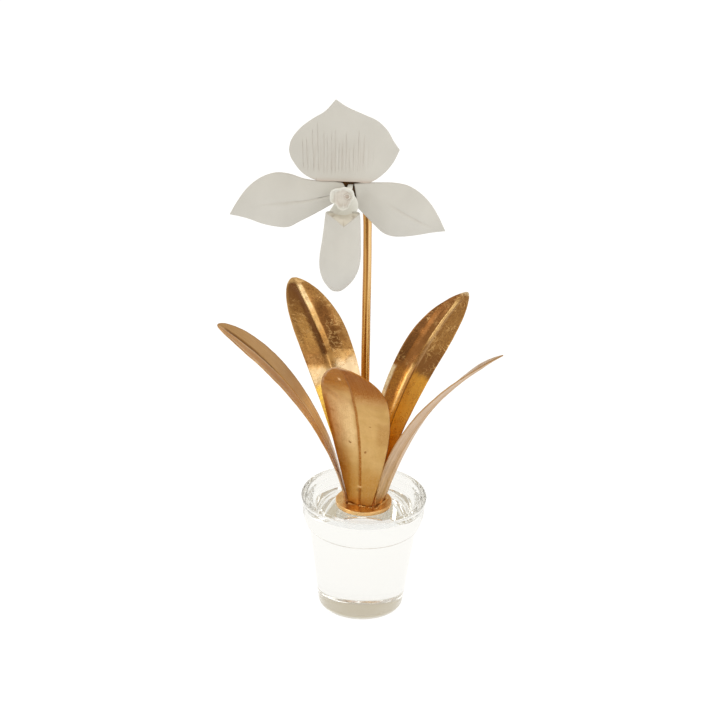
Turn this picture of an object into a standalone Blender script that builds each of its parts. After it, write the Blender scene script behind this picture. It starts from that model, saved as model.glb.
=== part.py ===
"""A decorative slipper orchid in a crystal flowerpot.

The bloom is white bisque porcelain. Its rod and its five leaves are metal under gold leaf, and stand on a
gilded disc in the shallow recess on top of a pot of solid crystal.

Metres, +Z up. The origin is the middle of the pot's underside, and the bloom faces -Y. Every size below is
in millimetres and every angle in degrees.
"""

from math import cos, pi, radians, sin

import bmesh
import bpy
import numpy as np
from mathutils import Vector

MM = 0.001
GAP = 0.3

# Crystal pot, as a turned profile
POT_HEIGHT = 73.0
POT_RIM_RADIUS = 37.5
POT_RIM_ROUND = 0.8
POT_BAND_RADIUS = 36.7
POT_BAND_Z = 67.5
POT_CREASE_RADIUS = 32.4
POT_CREASE_Z = 53.5
POT_FOOT_RADIUS = 25.7
POT_FOOT_ROUND = 2.4
RECESS_TOP_RADIUS = 34.0
RECESS_FLOOR_RADIUS = 29.0
RECESS_DEPTH = 6.3
POT_SIDES = 48

# Gilded disc on the floor of the recess
DISC_RADIUS = 16.8
DISC_THICKNESS = 2.6
DISC_ROUND = 0.6
DISC_Z = POT_HEIGHT - RECESS_DEPTH + GAP
DISC_TOP = DISC_Z + DISC_THICKNESS
DISC_SIDES = 36

# Rod, from the disc to the knuckle behind the bloom
ROD_RADIUS = 2.5
ROD_POINTS = (
    (-0.7, 0.0, DISC_TOP + GAP),
    (-1.4, 0.0, 130.0),
    (-2.2, 0.0, 190.0),
    (-3.0, 0.0, 240.0),
    (-3.4, 0.2, 252.0),
    (-4.3, 0.5, 260.0),
    (-7.2, 0.3, 266.5),
    (-11.6, -1.8, 270.0),
)
ROD_STEPS = 30

# Leaves. Azimuth is the way a leaf leans, counted from +X towards +Y, and turn adds to it up to the tip.
# Lean is the midrib's angle from the vertical, at the root and at the tip, and bend says how late it comes.
# Widths at the root and the place of the greatest width are fractions. Roll turns the blade round its
# midrib, and fold lifts its two halves. A large taper makes the tip more pointed.
LEAF_THICKNESS = 0.8
LEAF_ROWS = 20
LEAF_COLUMNS = (-1.0, -0.72, -0.4, -0.12, 0.0, 0.12, 0.4, 0.72, 1.0)
LEAF_GROOVE = 0.7
LEAF_GROOVE_WIDTH = 0.13
LEAF_ROOT_Z = DISC_TOP + 0.5
LEAVES = {
    "leaf_front": {
        "azimuth": -107, "turn": -4, "root_radius": 8.0, "length": 125, "width": 41.5, "wide_at": 0.63,
        "root_width": 0.35, "taper": 1.05, "lean_root": 0, "lean_tip": 51, "bend": 1.35,
        "roll_root": -2, "roll_tip": 0, "fold": 11,
    },
    "leaf_right": {
        "azimuth": -25, "turn": 3, "root_radius": 11.0, "length": 140, "width": 34.5, "wide_at": 0.58,
        "root_width": 0.38, "taper": 0.95, "lean_root": 13, "lean_tip": 54, "bend": 1.1,
        "roll_root": -4, "roll_tip": -5, "fold": 6,
    },
    "leaf_back_right": {
        "azimuth": 41, "turn": 8, "root_radius": 8.0, "length": 141, "width": 34.5, "wide_at": 0.68,
        "root_width": 0.32, "taper": 0.75, "lean_root": 6, "lean_tip": 65, "bend": 1.1,
        "roll_root": -6, "roll_tip": -9, "fold": 5,
    },
    "leaf_back_left": {
        "azimuth": 121, "turn": -6, "root_radius": 8.5, "length": 147, "width": 35.0, "wide_at": 0.67,
        "root_width": 0.33, "taper": 0.65, "lean_root": 9, "lean_tip": 74, "bend": 0.95,
        "roll_root": 3, "roll_tip": 6, "fold": 5,
    },
    "leaf_left": {
        "azimuth": 187, "turn": -3, "root_radius": 10.5, "length": 144, "width": 34.0, "wide_at": 0.66,
        "root_width": 0.27, "taper": 0.6, "lean_root": 15, "lean_tip": 57, "bend": 1.2,
        "roll_root": -4, "roll_tip": -3, "fold": 5,
    },
}

# Bloom. Its own frame has its origin in the middle of the flower, X to the right, Z up along the bloom
# and -Y out of its face, and leans back by BLOOM_LEAN. Outlines are (across, up) in that plane, from the
# middle of the flower outwards, and depth is counted out of its face.
BLOOM_HUB = (-16.0, -9.0, 271.2)
BLOOM_LEAN = 10
PETAL_THICKNESS = 1.6

# Lower and upper outline of the dorsal sepal, both from its left corner to its right corner
SEPAL_LOWER_EDGE = (
    (-33.4, 24.8), (-32.4, 21.2), (-30.0, 17.3), (-25.0, 11.8), (-17.4, 8.2), (-8.0, 8.1), (4.0, 8.1),
    (14.0, 8.2), (20.7, 12.9), (25.6, 18.7), (29.7, 26.8),
)
SEPAL_UPPER_LEFT = (
    (-33.4, 24.8), (-32.6, 29.4), (-27.4, 37.5), (-20.8, 43.1), (-13.5, 48.0), (-7.5, 54.9),
)
SEPAL_UPPER_RIGHT = (
    (-7.5, 54.9), (-1.5, 51.2), (8.1, 47.1), (17.4, 42.8), (22.6, 37.7), (26.3, 31.6), (29.7, 26.8),
)
SEPAL_ROWS = 10
SEPAL_RIB_SPACING = 2.9
SEPAL_RIB_HEIGHT = 0.25
SEPAL_BULGE = 0.0028

PETAL_LEFT_UPPER = (
    (-2.5, 5.0), (-5.4, 7.5), (-14.0, 7.7), (-24.9, 8.7), (-32.4, 10.6), (-40.0, 10.7), (-48.6, 7.1),
    (-57.1, -0.7), (-62.2, -8.5), (-67.0, -17.7),
)
PETAL_LEFT_LOWER = (
    (-7.3, -5.2), (-16.9, -11.3), (-25.9, -16.7), (-32.8, -20.7), (-40.9, -21.1), (-47.9, -20.4),
    (-55.0, -18.7), (-60.9, -17.9), (-67.0, -17.7),
)
PETAL_LEFT_SWEEP = 0.0038
PETAL_RIGHT_UPPER = (
    (4.0, 6.8), (10.6, 7.7), (19.1, 7.9), (27.7, 7.5), (34.6, 5.9), (41.0, 2.0), (48.2, -5.4),
    (53.2, -13.5), (57.6, -22.8),
)
PETAL_RIGHT_LOWER = (
    (7.0, -7.3), (12.4, -12.8), (17.1, -17.5), (22.4, -22.1), (27.1, -23.9), (32.8, -24.3),
    (40.9, -23.9), (48.9, -23.1), (57.6, -22.8),
)
PETAL_RIGHT_SWEEP = 0.0046
PETAL_BASE_DEPTH = 0.6
PETAL_CROWN = 2.6
PETAL_ROWS = 16
PETAL_COLUMNS = 9

# Pouch: half widths across and half depths, at distances below the ears of its rim
POUCH_TOP = (-1.4, 12.6, -7.25)
POUCH_LEAN = 8
POUCH_STATIONS = (
    (0.0, 9.9, 8.6), (9.0, 10.5, 9.6), (18.0, 11.2, 10.6), (27.0, 11.8, 11.0), (33.5, 11.1, 10.2),
    (39.0, 9.0, 8.2), (43.5, 5.6, 5.0), (46.0, 2.6, 2.3), (46.8, 0.0, 0.0),
)
POUCH_DRIFT = -2.4
POUCH_WALL = 1.5
POUCH_NOTCH = 5.9
POUCH_NOTCH_SHARPNESS = 1.6
POUCH_BACK_DIP = 1.8
POUCH_SIDES = 28
POUCH_ROWS = 12

# Column: a core with a pin to the mount, a neck down to the pouch, and the ruffled staminode in front
CORE_RADIUS = 4.6
CORE_BACK = 1.8
CORE_FRONT = 9.4
PIN_RADIUS = 1.6
PIN_ACROSS = 0.9
STAMINODE_MIDDLE = (-2.3, 0.5)
STAMINODE_DEPTH = 9.0
STAMINODE_RIM_RISE = 2.2
STAMINODE_RADII = (
    (0, 7.2), (23, 7.4), (46, 7.3), (68, 7.2), (92, 6.5), (120, 7.4), (142, 8.5), (165, 8.0), (184, 7.4),
    (201, 6.4), (218, 5.0), (244, 5.9), (263, 6.7), (292, 7.2), (310, 6.7), (330, 5.5), (348, 5.9),
)
STAMINODE_SIDES = 30
KNOB_RADIUS = 1.8
KNOB_PLACES = ((-1.7, 1.9), (2.6, 1.7))
NECK_TOP_WIDTH = 10.4
NECK_FOOT_WIDTH = 14.0
NECK_TOP = 1.0
NECK_FOOT = -9.6
NECK_BACK = 1.8
NECK_THICKNESS = 1.5

# Mount: a gilded plate behind the petals, with the knuckle that the rod ends at
MOUNT_MIDDLE = (1.0, 2.5)
MOUNT_RADIUS = 9.3
MOUNT_FRONT = -1.0
MOUNT_THICKNESS = 2.4
KNUCKLE_RADIUS = 4.2


def clear_scene():
    for obj in list(bpy.data.objects):
        bpy.data.objects.remove(obj, do_unlink=True)


def material(name, color, metallic, roughness, transmission=0.0):
    made = bpy.data.materials.new(name)
    made.use_nodes = True
    shader = made.node_tree.nodes["Principled BSDF"]
    shader.inputs["Base Color"].default_value = (*color, 1.0)
    shader.inputs["Metallic"].default_value = metallic
    shader.inputs["Roughness"].default_value = roughness
    shader.inputs["Transmission Weight"].default_value = transmission
    made.diffuse_color = (*color, 1.0)
    return made


def crystal():
    return material("crystal", (0.95, 0.97, 0.94), 0.0, 0.02, transmission=1.0)


def gold_leaf():
    return material("gold_leaf", (0.72, 0.42, 0.13), 1.0, 0.33)


def gilded_disc():
    return material("gilded_disc", (0.60, 0.30, 0.10), 1.0, 0.30)


def porcelain():
    return material("porcelain", (0.72, 0.69, 0.62), 0.0, 0.55)


def add_object(name, mesh, finish, smooth_angle=35):
    """A mesh object in the scene, with its material, shaded smooth but for its sharp edges."""
    mesh.materials.append(finish)
    mesh.shade_smooth()
    mesh.set_sharp_from_angle(angle=radians(smooth_angle))
    obj = bpy.data.objects.new(name, mesh)
    bpy.context.scene.collection.objects.link(obj)
    return obj


def smooth_line(points, count):
    """A curve through the points, read off at evenly spaced places. It is cubic between each two."""
    points = np.array(points, float)
    knots = np.concatenate([[0.0], np.cumsum(np.linalg.norm(np.diff(points, axis=0), axis=1))])
    slopes = np.gradient(points, knots, axis=0)
    fine = np.linspace(0.0, knots[-1], 40 * len(points))
    i = np.clip(np.searchsorted(knots, fine, side="right") - 1, 0, len(points) - 2)
    span = knots[i + 1] - knots[i]
    t = ((fine - knots[i]) / span)[:, None]
    span = span[:, None]
    curve = (
        (2 * t**3 - 3 * t**2 + 1) * points[i]
        + (t**3 - 2 * t**2 + t) * span * slopes[i]
        + (3 * t**2 - 2 * t**3) * points[i + 1]
        + (t**3 - t**2) * span * slopes[i + 1]
    )
    along = np.concatenate([[0.0], np.cumsum(np.linalg.norm(np.diff(curve, axis=0), axis=1))])
    wanted = np.linspace(0.0, along[-1], count)
    return np.stack([np.interp(wanted, along, curve[:, k]) for k in range(points.shape[1])], axis=-1)


def grid_mesh(name, grid):
    """An open sheet through a grid of points, split into triangles the same way all over."""
    rows, columns = grid.shape[:2]
    shape = bmesh.new()
    verts = [[shape.verts.new(Vector(point) * MM) for point in row] for row in grid]
    for r in range(rows - 1):
        for c in range(columns - 1):
            a, b = verts[r][c], verts[r][c + 1]
            d, e = verts[r + 1][c], verts[r + 1][c + 1]
            shape.faces.new((a, b, e))
            shape.faces.new((a, e, d))
    bmesh.ops.remove_doubles(shape, verts=shape.verts, dist=0.01 * MM)
    mesh = bpy.data.meshes.new(name)
    shape.to_mesh(mesh)
    shape.free()
    return mesh


def thicken(obj, thickness, offset):
    """Gives an open sheet its thickness, about its middle at an offset of 0 and behind it at -1."""
    solidify = obj.modifiers.new("thickness", "SOLIDIFY")
    solidify.thickness = thickness * MM
    solidify.offset = offset
    solidify.use_even_offset = False


def ring_mesh(name, rings, close_ends=True):
    """A closed body through rings of points. A ring of one point ends it in a tip."""
    shape = bmesh.new()
    loops = [[shape.verts.new(Vector(point) * MM) for point in ring] for ring in rings]
    for lower, upper in zip(loops, loops[1:]):
        count = max(len(lower), len(upper))
        for k in range(count):
            following = (k + 1) % count
            if len(lower) == 1:
                shape.faces.new((lower[0], upper[following], upper[k]))
            elif len(upper) == 1:
                shape.faces.new((lower[k], lower[following], upper[0]))
            else:
                shape.faces.new((lower[k], lower[following], upper[following], upper[k]))
    if close_ends:
        for loop in (loops[0], loops[-1]):
            if len(loop) > 1:
                shape.faces.new(loop)
    bmesh.ops.recalc_face_normals(shape, faces=shape.faces)
    mesh = bpy.data.meshes.new(name)
    shape.to_mesh(mesh)
    shape.free()
    return mesh


def turned(name, profile, steps, finish):
    """A body turned round Z from a profile of (radius, height), which runs down the outer side."""
    shape = bmesh.new()
    verts = [shape.verts.new((radius * MM, 0.0, height * MM)) for radius, height in profile]
    for first, second in zip(verts, verts[1:]):
        shape.edges.new((first, second))
    mesh = bpy.data.meshes.new(name)
    shape.to_mesh(mesh)
    shape.free()
    obj = add_object(name, mesh, finish)
    screw = obj.modifiers.new("turning", "SCREW")
    screw.steps = steps
    screw.render_steps = steps
    screw.use_merge_vertices = True
    screw.merge_threshold = 0.02 * MM
    return obj


def quarter(middle, radii, start, steps):
    """Points of a quarter of an ellipse round a middle, clockwise from the start angle."""
    angles = [radians(start) - pi / 2 * k / steps for k in range(steps + 1)]
    return [(middle[0] + radii[0] * cos(a), middle[1] + radii[1] * sin(a)) for a in angles]


def pot_profile():
    floor = POT_HEIGHT - RECESS_DEPTH
    rim = POT_RIM_ROUND
    band = (POT_BAND_RADIUS - POT_CREASE_RADIUS, POT_BAND_Z - POT_CREASE_Z)
    points = [(0.0, floor), (RECESS_FLOOR_RADIUS, floor), (RECESS_TOP_RADIUS - rim, POT_HEIGHT - rim)]
    points += [(RECESS_TOP_RADIUS, POT_HEIGHT)]
    points += quarter((POT_RIM_RADIUS - rim, POT_HEIGHT - rim), (rim, rim), 90, 2)
    points += quarter((POT_CREASE_RADIUS, POT_BAND_Z), band, 0, 5)
    foot = POT_FOOT_ROUND
    points += quarter((POT_FOOT_RADIUS - foot, foot), (foot, foot), 0, 3)
    points += [(0.0, 0.0)]
    return points


def make_pot():
    turned("glass_pot", pot_profile(), POT_SIDES, crystal())


def make_disc():
    edge = DISC_ROUND
    profile = [(0.0, DISC_TOP)]
    profile += quarter((DISC_RADIUS - edge, DISC_TOP - edge), (edge, edge), 90, 2)
    profile += quarter((DISC_RADIUS - edge, DISC_Z + edge), (edge, edge), 0, 2)
    profile += [(0.0, DISC_Z)]
    turned("base_disc", profile, DISC_SIDES, gilded_disc())


def make_rod():
    line = smooth_line(ROD_POINTS, ROD_STEPS)
    curve = bpy.data.curves.new("stem", "CURVE")
    curve.dimensions = "3D"
    curve.bevel_depth = ROD_RADIUS * MM
    curve.bevel_resolution = 3
    curve.use_fill_caps = True
    spline = curve.splines.new("POLY")
    spline.points.add(len(line) - 1)
    for point, place in zip(spline.points, line):
        point.co = (*(Vector(place) * MM), 1.0)
    curve.materials.append(gold_leaf())
    rod = bpy.data.objects.new("stem", curve)
    bpy.context.scene.collection.objects.link(rod)


def leaf_frame(leaf, rows):
    """The midrib's points, and at each the way across the blade and the way out of its upper face."""
    s = np.linspace(0.0, 1.0, rows)
    azimuth = np.radians(leaf["azimuth"] + leaf["turn"] * s)
    lean = np.radians(leaf["lean_root"] + (leaf["lean_tip"] - leaf["lean_root"]) * s ** leaf["bend"])
    roll = np.radians(leaf["roll_root"] + (leaf["roll_tip"] - leaf["roll_root"]) * s)
    flat = np.zeros_like(s)
    outward = np.stack([np.cos(azimuth), np.sin(azimuth), flat], axis=-1)
    across = np.stack([-np.sin(azimuth), np.cos(azimuth), flat], axis=-1)
    upward = np.array([0.0, 0.0, 1.0])
    along = np.sin(lean)[:, None] * outward + np.cos(lean)[:, None] * upward
    normal = np.sin(lean)[:, None] * upward - np.cos(lean)[:, None] * outward
    steps = (along[1:] + along[:-1]) / 2 * leaf["length"] / (rows - 1)
    midrib = np.concatenate([np.zeros((1, 3)), np.cumsum(steps, axis=0)])
    midrib += leaf["root_radius"] * outward[0] + LEAF_ROOT_Z * upward
    turned_across = np.cos(roll)[:, None] * across + np.sin(roll)[:, None] * normal
    turned_normal = np.cos(roll)[:, None] * normal - np.sin(roll)[:, None] * across
    return s, midrib, turned_across, turned_normal


def leaf_half_width(leaf, s):
    """Half the blade's width: a quarter wave from the root to the widest place, then in to the tip."""
    wide_at = leaf["wide_at"]
    root = leaf["root_width"]
    rise = root + (1 - root) * np.sin(pi / 2 * np.clip(s / wide_at, 0, 1))
    fall = (1 - np.clip((s - wide_at) / (1 - wide_at), 0, 1) ** 2) ** leaf["taper"]
    return leaf["width"] / 2 * np.where(s < wide_at, rise, fall)


def leaf_grid(leaf):
    s, midrib, across, normal = leaf_frame(leaf, LEAF_ROWS)
    half = leaf_half_width(leaf, s)
    fold = radians(leaf["fold"])
    groove_fade = np.minimum(1.0, half / 6.0)
    columns = []
    for t in LEAF_COLUMNS:
        sink = LEAF_GROOVE * groove_fade * max(0.0, 1 - abs(t) / LEAF_GROOVE_WIDTH)
        out = half * abs(t) * sin(fold) - sink
        columns.append(midrib + (half * t * cos(fold))[:, None] * across + out[:, None] * normal)
    grid = np.stack(columns, axis=1)
    grid[0, :, 2] = LEAF_ROOT_Z
    return grid


def make_leaves():
    finish = gold_leaf()
    for name, leaf in LEAVES.items():
        obj = add_object(name, grid_mesh(name, leaf_grid(leaf)), finish)
        thicken(obj, LEAF_THICKNESS, 0.0)


def bloom_frame():
    frame = bpy.data.objects.new("bloom_frame", None)
    frame.location = Vector(BLOOM_HUB) * MM
    frame.rotation_euler = (-radians(BLOOM_LEAN), 0.0, 0.0)
    bpy.context.scene.collection.objects.link(frame)
    return frame


def between_edges(first_edge, second_edge, rows, columns):
    """A flat grid of (across, up) between two edges, with the fraction along and across at each point."""
    first = smooth_line(first_edge, rows)
    second = smooth_line(second_edge, rows)
    t = np.linspace(0.0, 1.0, columns)
    plane = first[:, None] * (1 - t)[None, :, None] + second[:, None] * t[None, :, None]
    s = np.linspace(0.0, 1.0, rows)
    return plane, s[:, None] + 0 * t[None, :], t[None, :] + 0 * s[:, None]


def faced_grid(plane, depth):
    """Places in the bloom's frame for a flat grid and its depth out of the face."""
    return np.stack([plane[..., 0], -depth, plane[..., 1]], axis=-1)


def sepal_plane():
    """Upright columns of points between the sepal's outlines, half a rib apart, with one at its tip."""
    lower = smooth_line(SEPAL_LOWER_EDGE, 400)
    upper = np.concatenate([smooth_line(SEPAL_UPPER_LEFT, 200), smooth_line(SEPAL_UPPER_RIGHT, 200)[1:]])
    ends = (lower[0, 0], SEPAL_UPPER_LEFT[-1][0], lower[-1, 0])
    left_count = round(2 * (ends[1] - ends[0]) / SEPAL_RIB_SPACING)
    right_count = round(2 * (ends[2] - ends[1]) / SEPAL_RIB_SPACING)
    across = np.concatenate(
        [np.linspace(ends[0], ends[1], left_count + 1), np.linspace(ends[1], ends[2], right_count + 1)[1:]]
    )
    low = np.interp(across, lower[:, 0], lower[:, 1])
    high = np.interp(across, upper[:, 0], upper[:, 1])
    share = np.linspace(0.0, 1.0, SEPAL_ROWS)[:, None]
    up = low[None, :] * (1 - share) + high[None, :] * share
    return np.stack([np.broadcast_to(across, up.shape), up], axis=-1), left_count


def make_sepal(frame, finish):
    plane, tip_column = sepal_plane()
    across = plane[..., 0]
    up = plane[..., 1] - SEPAL_LOWER_EDGE[-4][1]
    crest = (-1.0) ** (np.arange(plane.shape[1]) - tip_column)
    band = np.sin(pi * np.clip(up / 32.0, 0, 1)) * np.sin(pi * np.linspace(0, 1, SEPAL_ROWS))[:, None]
    ribs = SEPAL_RIB_HEIGHT * crest * np.clip(band, 0, 1)
    depth = PETAL_BASE_DEPTH - SEPAL_BULGE * across**2 - 0.03 * up - 0.0006 * up**2 + ribs
    sepal = add_object("dorsal_sepal", grid_mesh("dorsal_sepal", faced_grid(plane, depth)), finish)
    thicken(sepal, PETAL_THICKNESS, 0.0)
    sepal.parent = frame


def make_petal(name, lower, upper, sweep, frame, finish):
    plane, s, t = between_edges(lower, upper, PETAL_ROWS, PETAL_COLUMNS)
    crown = PETAL_CROWN * 4 * t * (1 - t) * np.sin(pi * s) ** 2
    depth = PETAL_BASE_DEPTH - sweep * plane[..., 0] ** 2 + crown
    petal = add_object(name, grid_mesh(name, faced_grid(plane, depth)), finish)
    thicken(petal, PETAL_THICKNESS, 0.0)
    petal.parent = frame


def pouch_rim(angle):
    """How far the rim lies below its ears, at an angle counted from the front."""
    notch = POUCH_NOTCH * (1 - abs(sin(angle))) ** POUCH_NOTCH_SHARPNESS
    return notch if cos(angle) > 0 else POUCH_BACK_DIP * cos(angle) ** 2


def pouch_grid():
    """Rows from the rim down to the toe, each round the pouch, with the lip's notch let into the first."""
    stations = smooth_line(POUCH_STATIONS, POUCH_ROWS)
    below, wide, deep = stations.T
    fade = np.clip(1 - below / 24.0, 0, 1)
    grid = []
    for k in range(POUCH_SIDES + 1):
        angle = 2 * pi * (k % POUCH_SIDES) / POUCH_SIDES
        down = below + pouch_rim(angle) * fade**2
        half_wide = np.interp(down, below, wide)
        half_deep = np.interp(down, below, deep)
        drift = POUCH_DRIFT * (down / below[-1]) ** 2
        grid.append(np.stack([half_wide * sin(angle) + drift, -half_deep * cos(angle), -down], axis=-1))
    return np.array(grid)


def make_pouch(frame, finish):
    pouch = add_object("pouch", grid_mesh("pouch", pouch_grid()), finish)
    thicken(pouch, POUCH_WALL, -1.0)
    across, depth, up = POUCH_TOP
    pouch.location = Vector((across, -depth, up)) * MM
    pouch.rotation_euler = (radians(BLOOM_LEAN - POUCH_LEAN), 0.0, 0.0)
    pouch.parent = frame


def staminode_mesh():
    """A shallow dish with a ruffled outline and a raised rim."""
    angles = [radians(a) for a, _ in STAMINODE_RADII]
    radii = [r for _, r in STAMINODE_RADII]
    turn = np.linspace(0.0, 2 * pi, STAMINODE_SIDES, endpoint=False)
    outline = np.interp(turn, angles, radii, period=2 * pi)
    sections = ((0.45, -1.6), (0.93, 0.3), (1.0, 1.6), (0.88, STAMINODE_RIM_RISE), (0.6, 0.7), (0.25, 0.2))
    rings = []
    for share, rise in sections:
        across = STAMINODE_MIDDLE[0] + share * outline * np.cos(turn)
        up = STAMINODE_MIDDLE[1] + share * outline * np.sin(turn)
        rings.append(np.stack([across, 0 * turn - STAMINODE_DEPTH - rise, up], axis=-1))
    return ring_mesh("staminode", rings)


def rod_mesh(name, middle, radii, back, front, sides=20):
    """A straight round piece along the depth, between two depths, with a radius at each end."""
    rings = []
    for radius, depth in zip(radii, (back, front)):
        rings.append(
            [
                (middle[0] + radius * cos(2 * pi * k / sides), -depth, middle[1] + radius * sin(2 * pi * k / sides))
                for k in range(sides)
            ]
        )
    return ring_mesh(name, rings)


def neck_mesh():
    """A flared plate behind the staminode, down to the back of the pouch."""
    middle = STAMINODE_MIDDLE[0]
    rings = []
    for half, up in ((NECK_TOP_WIDTH / 2, NECK_TOP), (NECK_FOOT_WIDTH / 2, NECK_FOOT)):
        corners = []
        for k in range(16):
            angle = 2 * pi * k / 16
            depth = NECK_BACK + NECK_THICKNESS / 2 * (1 + sin(angle))
            corners.append((middle + half * cos(angle), -depth, up))
        rings.append(corners)
    return ring_mesh("neck", rings)


def ball_mesh(name, middle, radius, segments=14, rings=8):
    shape = bmesh.new()
    bmesh.ops.create_uvsphere(shape, u_segments=segments, v_segments=rings, radius=radius * MM)
    bmesh.ops.translate(shape, verts=shape.verts, vec=Vector(middle) * MM)
    mesh = bpy.data.meshes.new(name)
    shape.to_mesh(mesh)
    shape.free()
    return mesh


def joined(name, meshes, finish):
    """One body from overlapping meshes, by a Boolean union that is applied."""
    helpers = bpy.data.collections.new(name + "_pieces")
    bpy.context.scene.collection.children.link(helpers)
    for mesh in meshes[1:]:
        helpers.objects.link(bpy.data.objects.new(mesh.name, mesh))
    obj = add_object(name, meshes[0], finish)
    union = obj.modifiers.new("union", "BOOLEAN")
    union.operation = "UNION"
    union.operand_type = "COLLECTION"
    union.collection = helpers
    bpy.context.view_layer.update()
    graph = bpy.context.evaluated_depsgraph_get()
    whole = bpy.data.meshes.new_from_object(obj.evaluated_get(graph))
    obj.modifiers.clear()
    obj.data = whole
    for helper in list(helpers.objects):
        bpy.data.objects.remove(helper, do_unlink=True)
    bpy.data.collections.remove(helpers)
    return obj


def make_column(frame, finish):
    knobs = [
        ball_mesh("knob", (x, -STAMINODE_DEPTH - 1.2, z), KNOB_RADIUS, segments=10, rings=6)
        for x, z in KNOB_PLACES
    ]
    core = rod_mesh("core", STAMINODE_MIDDLE, (CORE_RADIUS, CORE_RADIUS - 0.4), CORE_BACK, CORE_FRONT)
    pin = rod_mesh("pin", (PIN_ACROSS, 0.3), (PIN_RADIUS, PIN_RADIUS), MOUNT_FRONT + GAP, CORE_FRONT - 2, sides=10)
    column = joined("column", [core, staminode_mesh(), neck_mesh(), pin, *knobs], finish)
    column.parent = frame


def make_mount(frame):
    back = MOUNT_FRONT - MOUNT_THICKNESS
    plate = rod_mesh("plate", MOUNT_MIDDLE, (MOUNT_RADIUS, MOUNT_RADIUS), back, MOUNT_FRONT, sides=28)
    knuckle_depth = MOUNT_FRONT - GAP - KNUCKLE_RADIUS
    knuckle = ball_mesh("knuckle", (MOUNT_MIDDLE[0], -knuckle_depth, MOUNT_MIDDLE[1]), KNUCKLE_RADIUS)
    mount = joined("bloom_mount", [plate, knuckle], gold_leaf())
    mount.parent = frame


def make_bloom():
    frame = bloom_frame()
    white = porcelain()
    make_mount(frame)
    make_sepal(frame, white)
    make_petal("petal_left", PETAL_LEFT_LOWER, PETAL_LEFT_UPPER, PETAL_LEFT_SWEEP, frame, white)
    make_petal("petal_right", PETAL_RIGHT_LOWER, PETAL_RIGHT_UPPER, PETAL_RIGHT_SWEEP, frame, white)
    make_pouch(frame, white)
    make_column(frame, white)


def main():
    clear_scene()
    make_pot()
    make_disc()
    make_rod()
    make_leaves()
    make_bloom()


main()
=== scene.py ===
"""The dressed slipper orchid: a porcelain bloom, a gold-leafed rod and leaves, and a crystal flowerpot.

Lengths are in millimetres and angles in degrees until a mesh is made, which is in metres. The forms are those
of the model's solids, drawn finer and with their surface detail.
"""

from math import cos, pi, radians, sin

import bmesh
import bpy
import numpy as np
from mathutils import Matrix, Vector, noise

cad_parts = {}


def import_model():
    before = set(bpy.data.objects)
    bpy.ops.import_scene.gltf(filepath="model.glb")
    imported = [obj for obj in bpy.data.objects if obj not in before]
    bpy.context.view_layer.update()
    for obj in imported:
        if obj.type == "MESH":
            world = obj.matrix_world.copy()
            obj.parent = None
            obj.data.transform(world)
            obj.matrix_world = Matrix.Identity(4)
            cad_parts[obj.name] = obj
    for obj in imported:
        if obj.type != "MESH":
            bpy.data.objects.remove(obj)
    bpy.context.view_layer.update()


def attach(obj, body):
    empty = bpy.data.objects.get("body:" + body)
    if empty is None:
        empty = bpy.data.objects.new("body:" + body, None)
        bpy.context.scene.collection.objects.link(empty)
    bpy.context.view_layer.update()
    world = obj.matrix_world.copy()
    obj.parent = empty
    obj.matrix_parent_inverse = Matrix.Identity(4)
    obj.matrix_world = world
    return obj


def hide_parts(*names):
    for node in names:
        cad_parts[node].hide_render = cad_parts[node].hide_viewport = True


MM = 0.001
# Meshing: points this near are joined, edges shorter than a sliver go, and voxels draw a skin over bodies
WELD_REACH = 0.002
SLIVER = 0.0005
FINE_VOXEL = 0.16
COARSE_VOXEL = 0.3

# Camera, fitted to the picture's frame of IMAGE_SIZE pixels
IMAGE_SIZE = 720
CAMERA_ELEVATION = 25.9
CAMERA_DISTANCE = 2000.0
CAMERA_ROLL = 1.95
CAMERA_TARGET_Z = 170.0
TARGET_PIXEL = (368.9, 348.4)
PIXELS_PER_MM = 1.705
SENSOR_WIDTH = 36.0

# Crystal pot, as a turned profile
POT_HEIGHT = 73.0
POT_RIM_RADIUS = 37.5
POT_RIM_ROUND = 0.8
POT_BAND_RADIUS = 36.7
POT_BAND_Z = 67.5
POT_CREASE_RADIUS = 32.4
POT_CREASE_Z = 53.5
POT_FOOT_RADIUS = 25.7
POT_FOOT_ROUND = (2.6, 4.4)
RECESS_TOP_RADIUS = 34.0
RECESS_FLOOR_RADIUS = 29.0
RECESS_DEPTH = 6.3
RECESS_SOFT = 0.35
POT_SIDES = 256

# Gilded disc and the rod that stands on it
DISC_RADIUS = 16.8
DISC_THICKNESS = 2.6
DISC_ROUND = 0.6
# The top is as high as the solid disc's, and the underside comes nearer to the floor of the recess
DISC_CLEARANCE = 0.3
DISC_SUNK_CLEARANCE = 0.05
DISC_Z = POT_HEIGHT - RECESS_DEPTH + DISC_SUNK_CLEARANCE
DISC_TOP = POT_HEIGHT - RECESS_DEPTH + DISC_CLEARANCE + DISC_THICKNESS
DISC_SIDES = 180
# Unevenness is given by waves of noise, each with its height, its size and its own seed
DISC_DENTS = ((0.12, 5.0, 3.0), (0.05, 1.6, 9.0))
ROD_RADIUS = 2.5
ROD_STEPS = 160
ROD_SIDES = 48
ROD_DENTS = ((0.05, 7.0, 5.0),)
ROD_COLLAR = (3.7, 3.6, 1.0)
ROD_POINTS = (
    (-0.7, 0.0, DISC_TOP - 0.3), (-1.4, 0.0, 130.0), (-2.2, 0.0, 190.0), (-3.0, 0.0, 240.0),
    (-3.4, 0.2, 252.0), (-4.3, 0.5, 260.0), (-7.2, 0.3, 266.5), (-11.6, -1.8, 270.0),
)

# Leaves, with the same terms as the solids: azimuth and turn, length and widths, lean, bend, roll and fold.
# The groove is the midrib's: half its width, its depth, and how far it wanders off the middle.
LEAF_THICKNESS = 0.8
LEAF_ROOT_Z = DISC_TOP - 0.1
LEAF_STEPS = (180, 73)
LEAF_DENTS = ((0.25, 15.0, 0.0), (0.09, 4.5, 7.0), (0.035, 1.4, 3.0))
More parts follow.
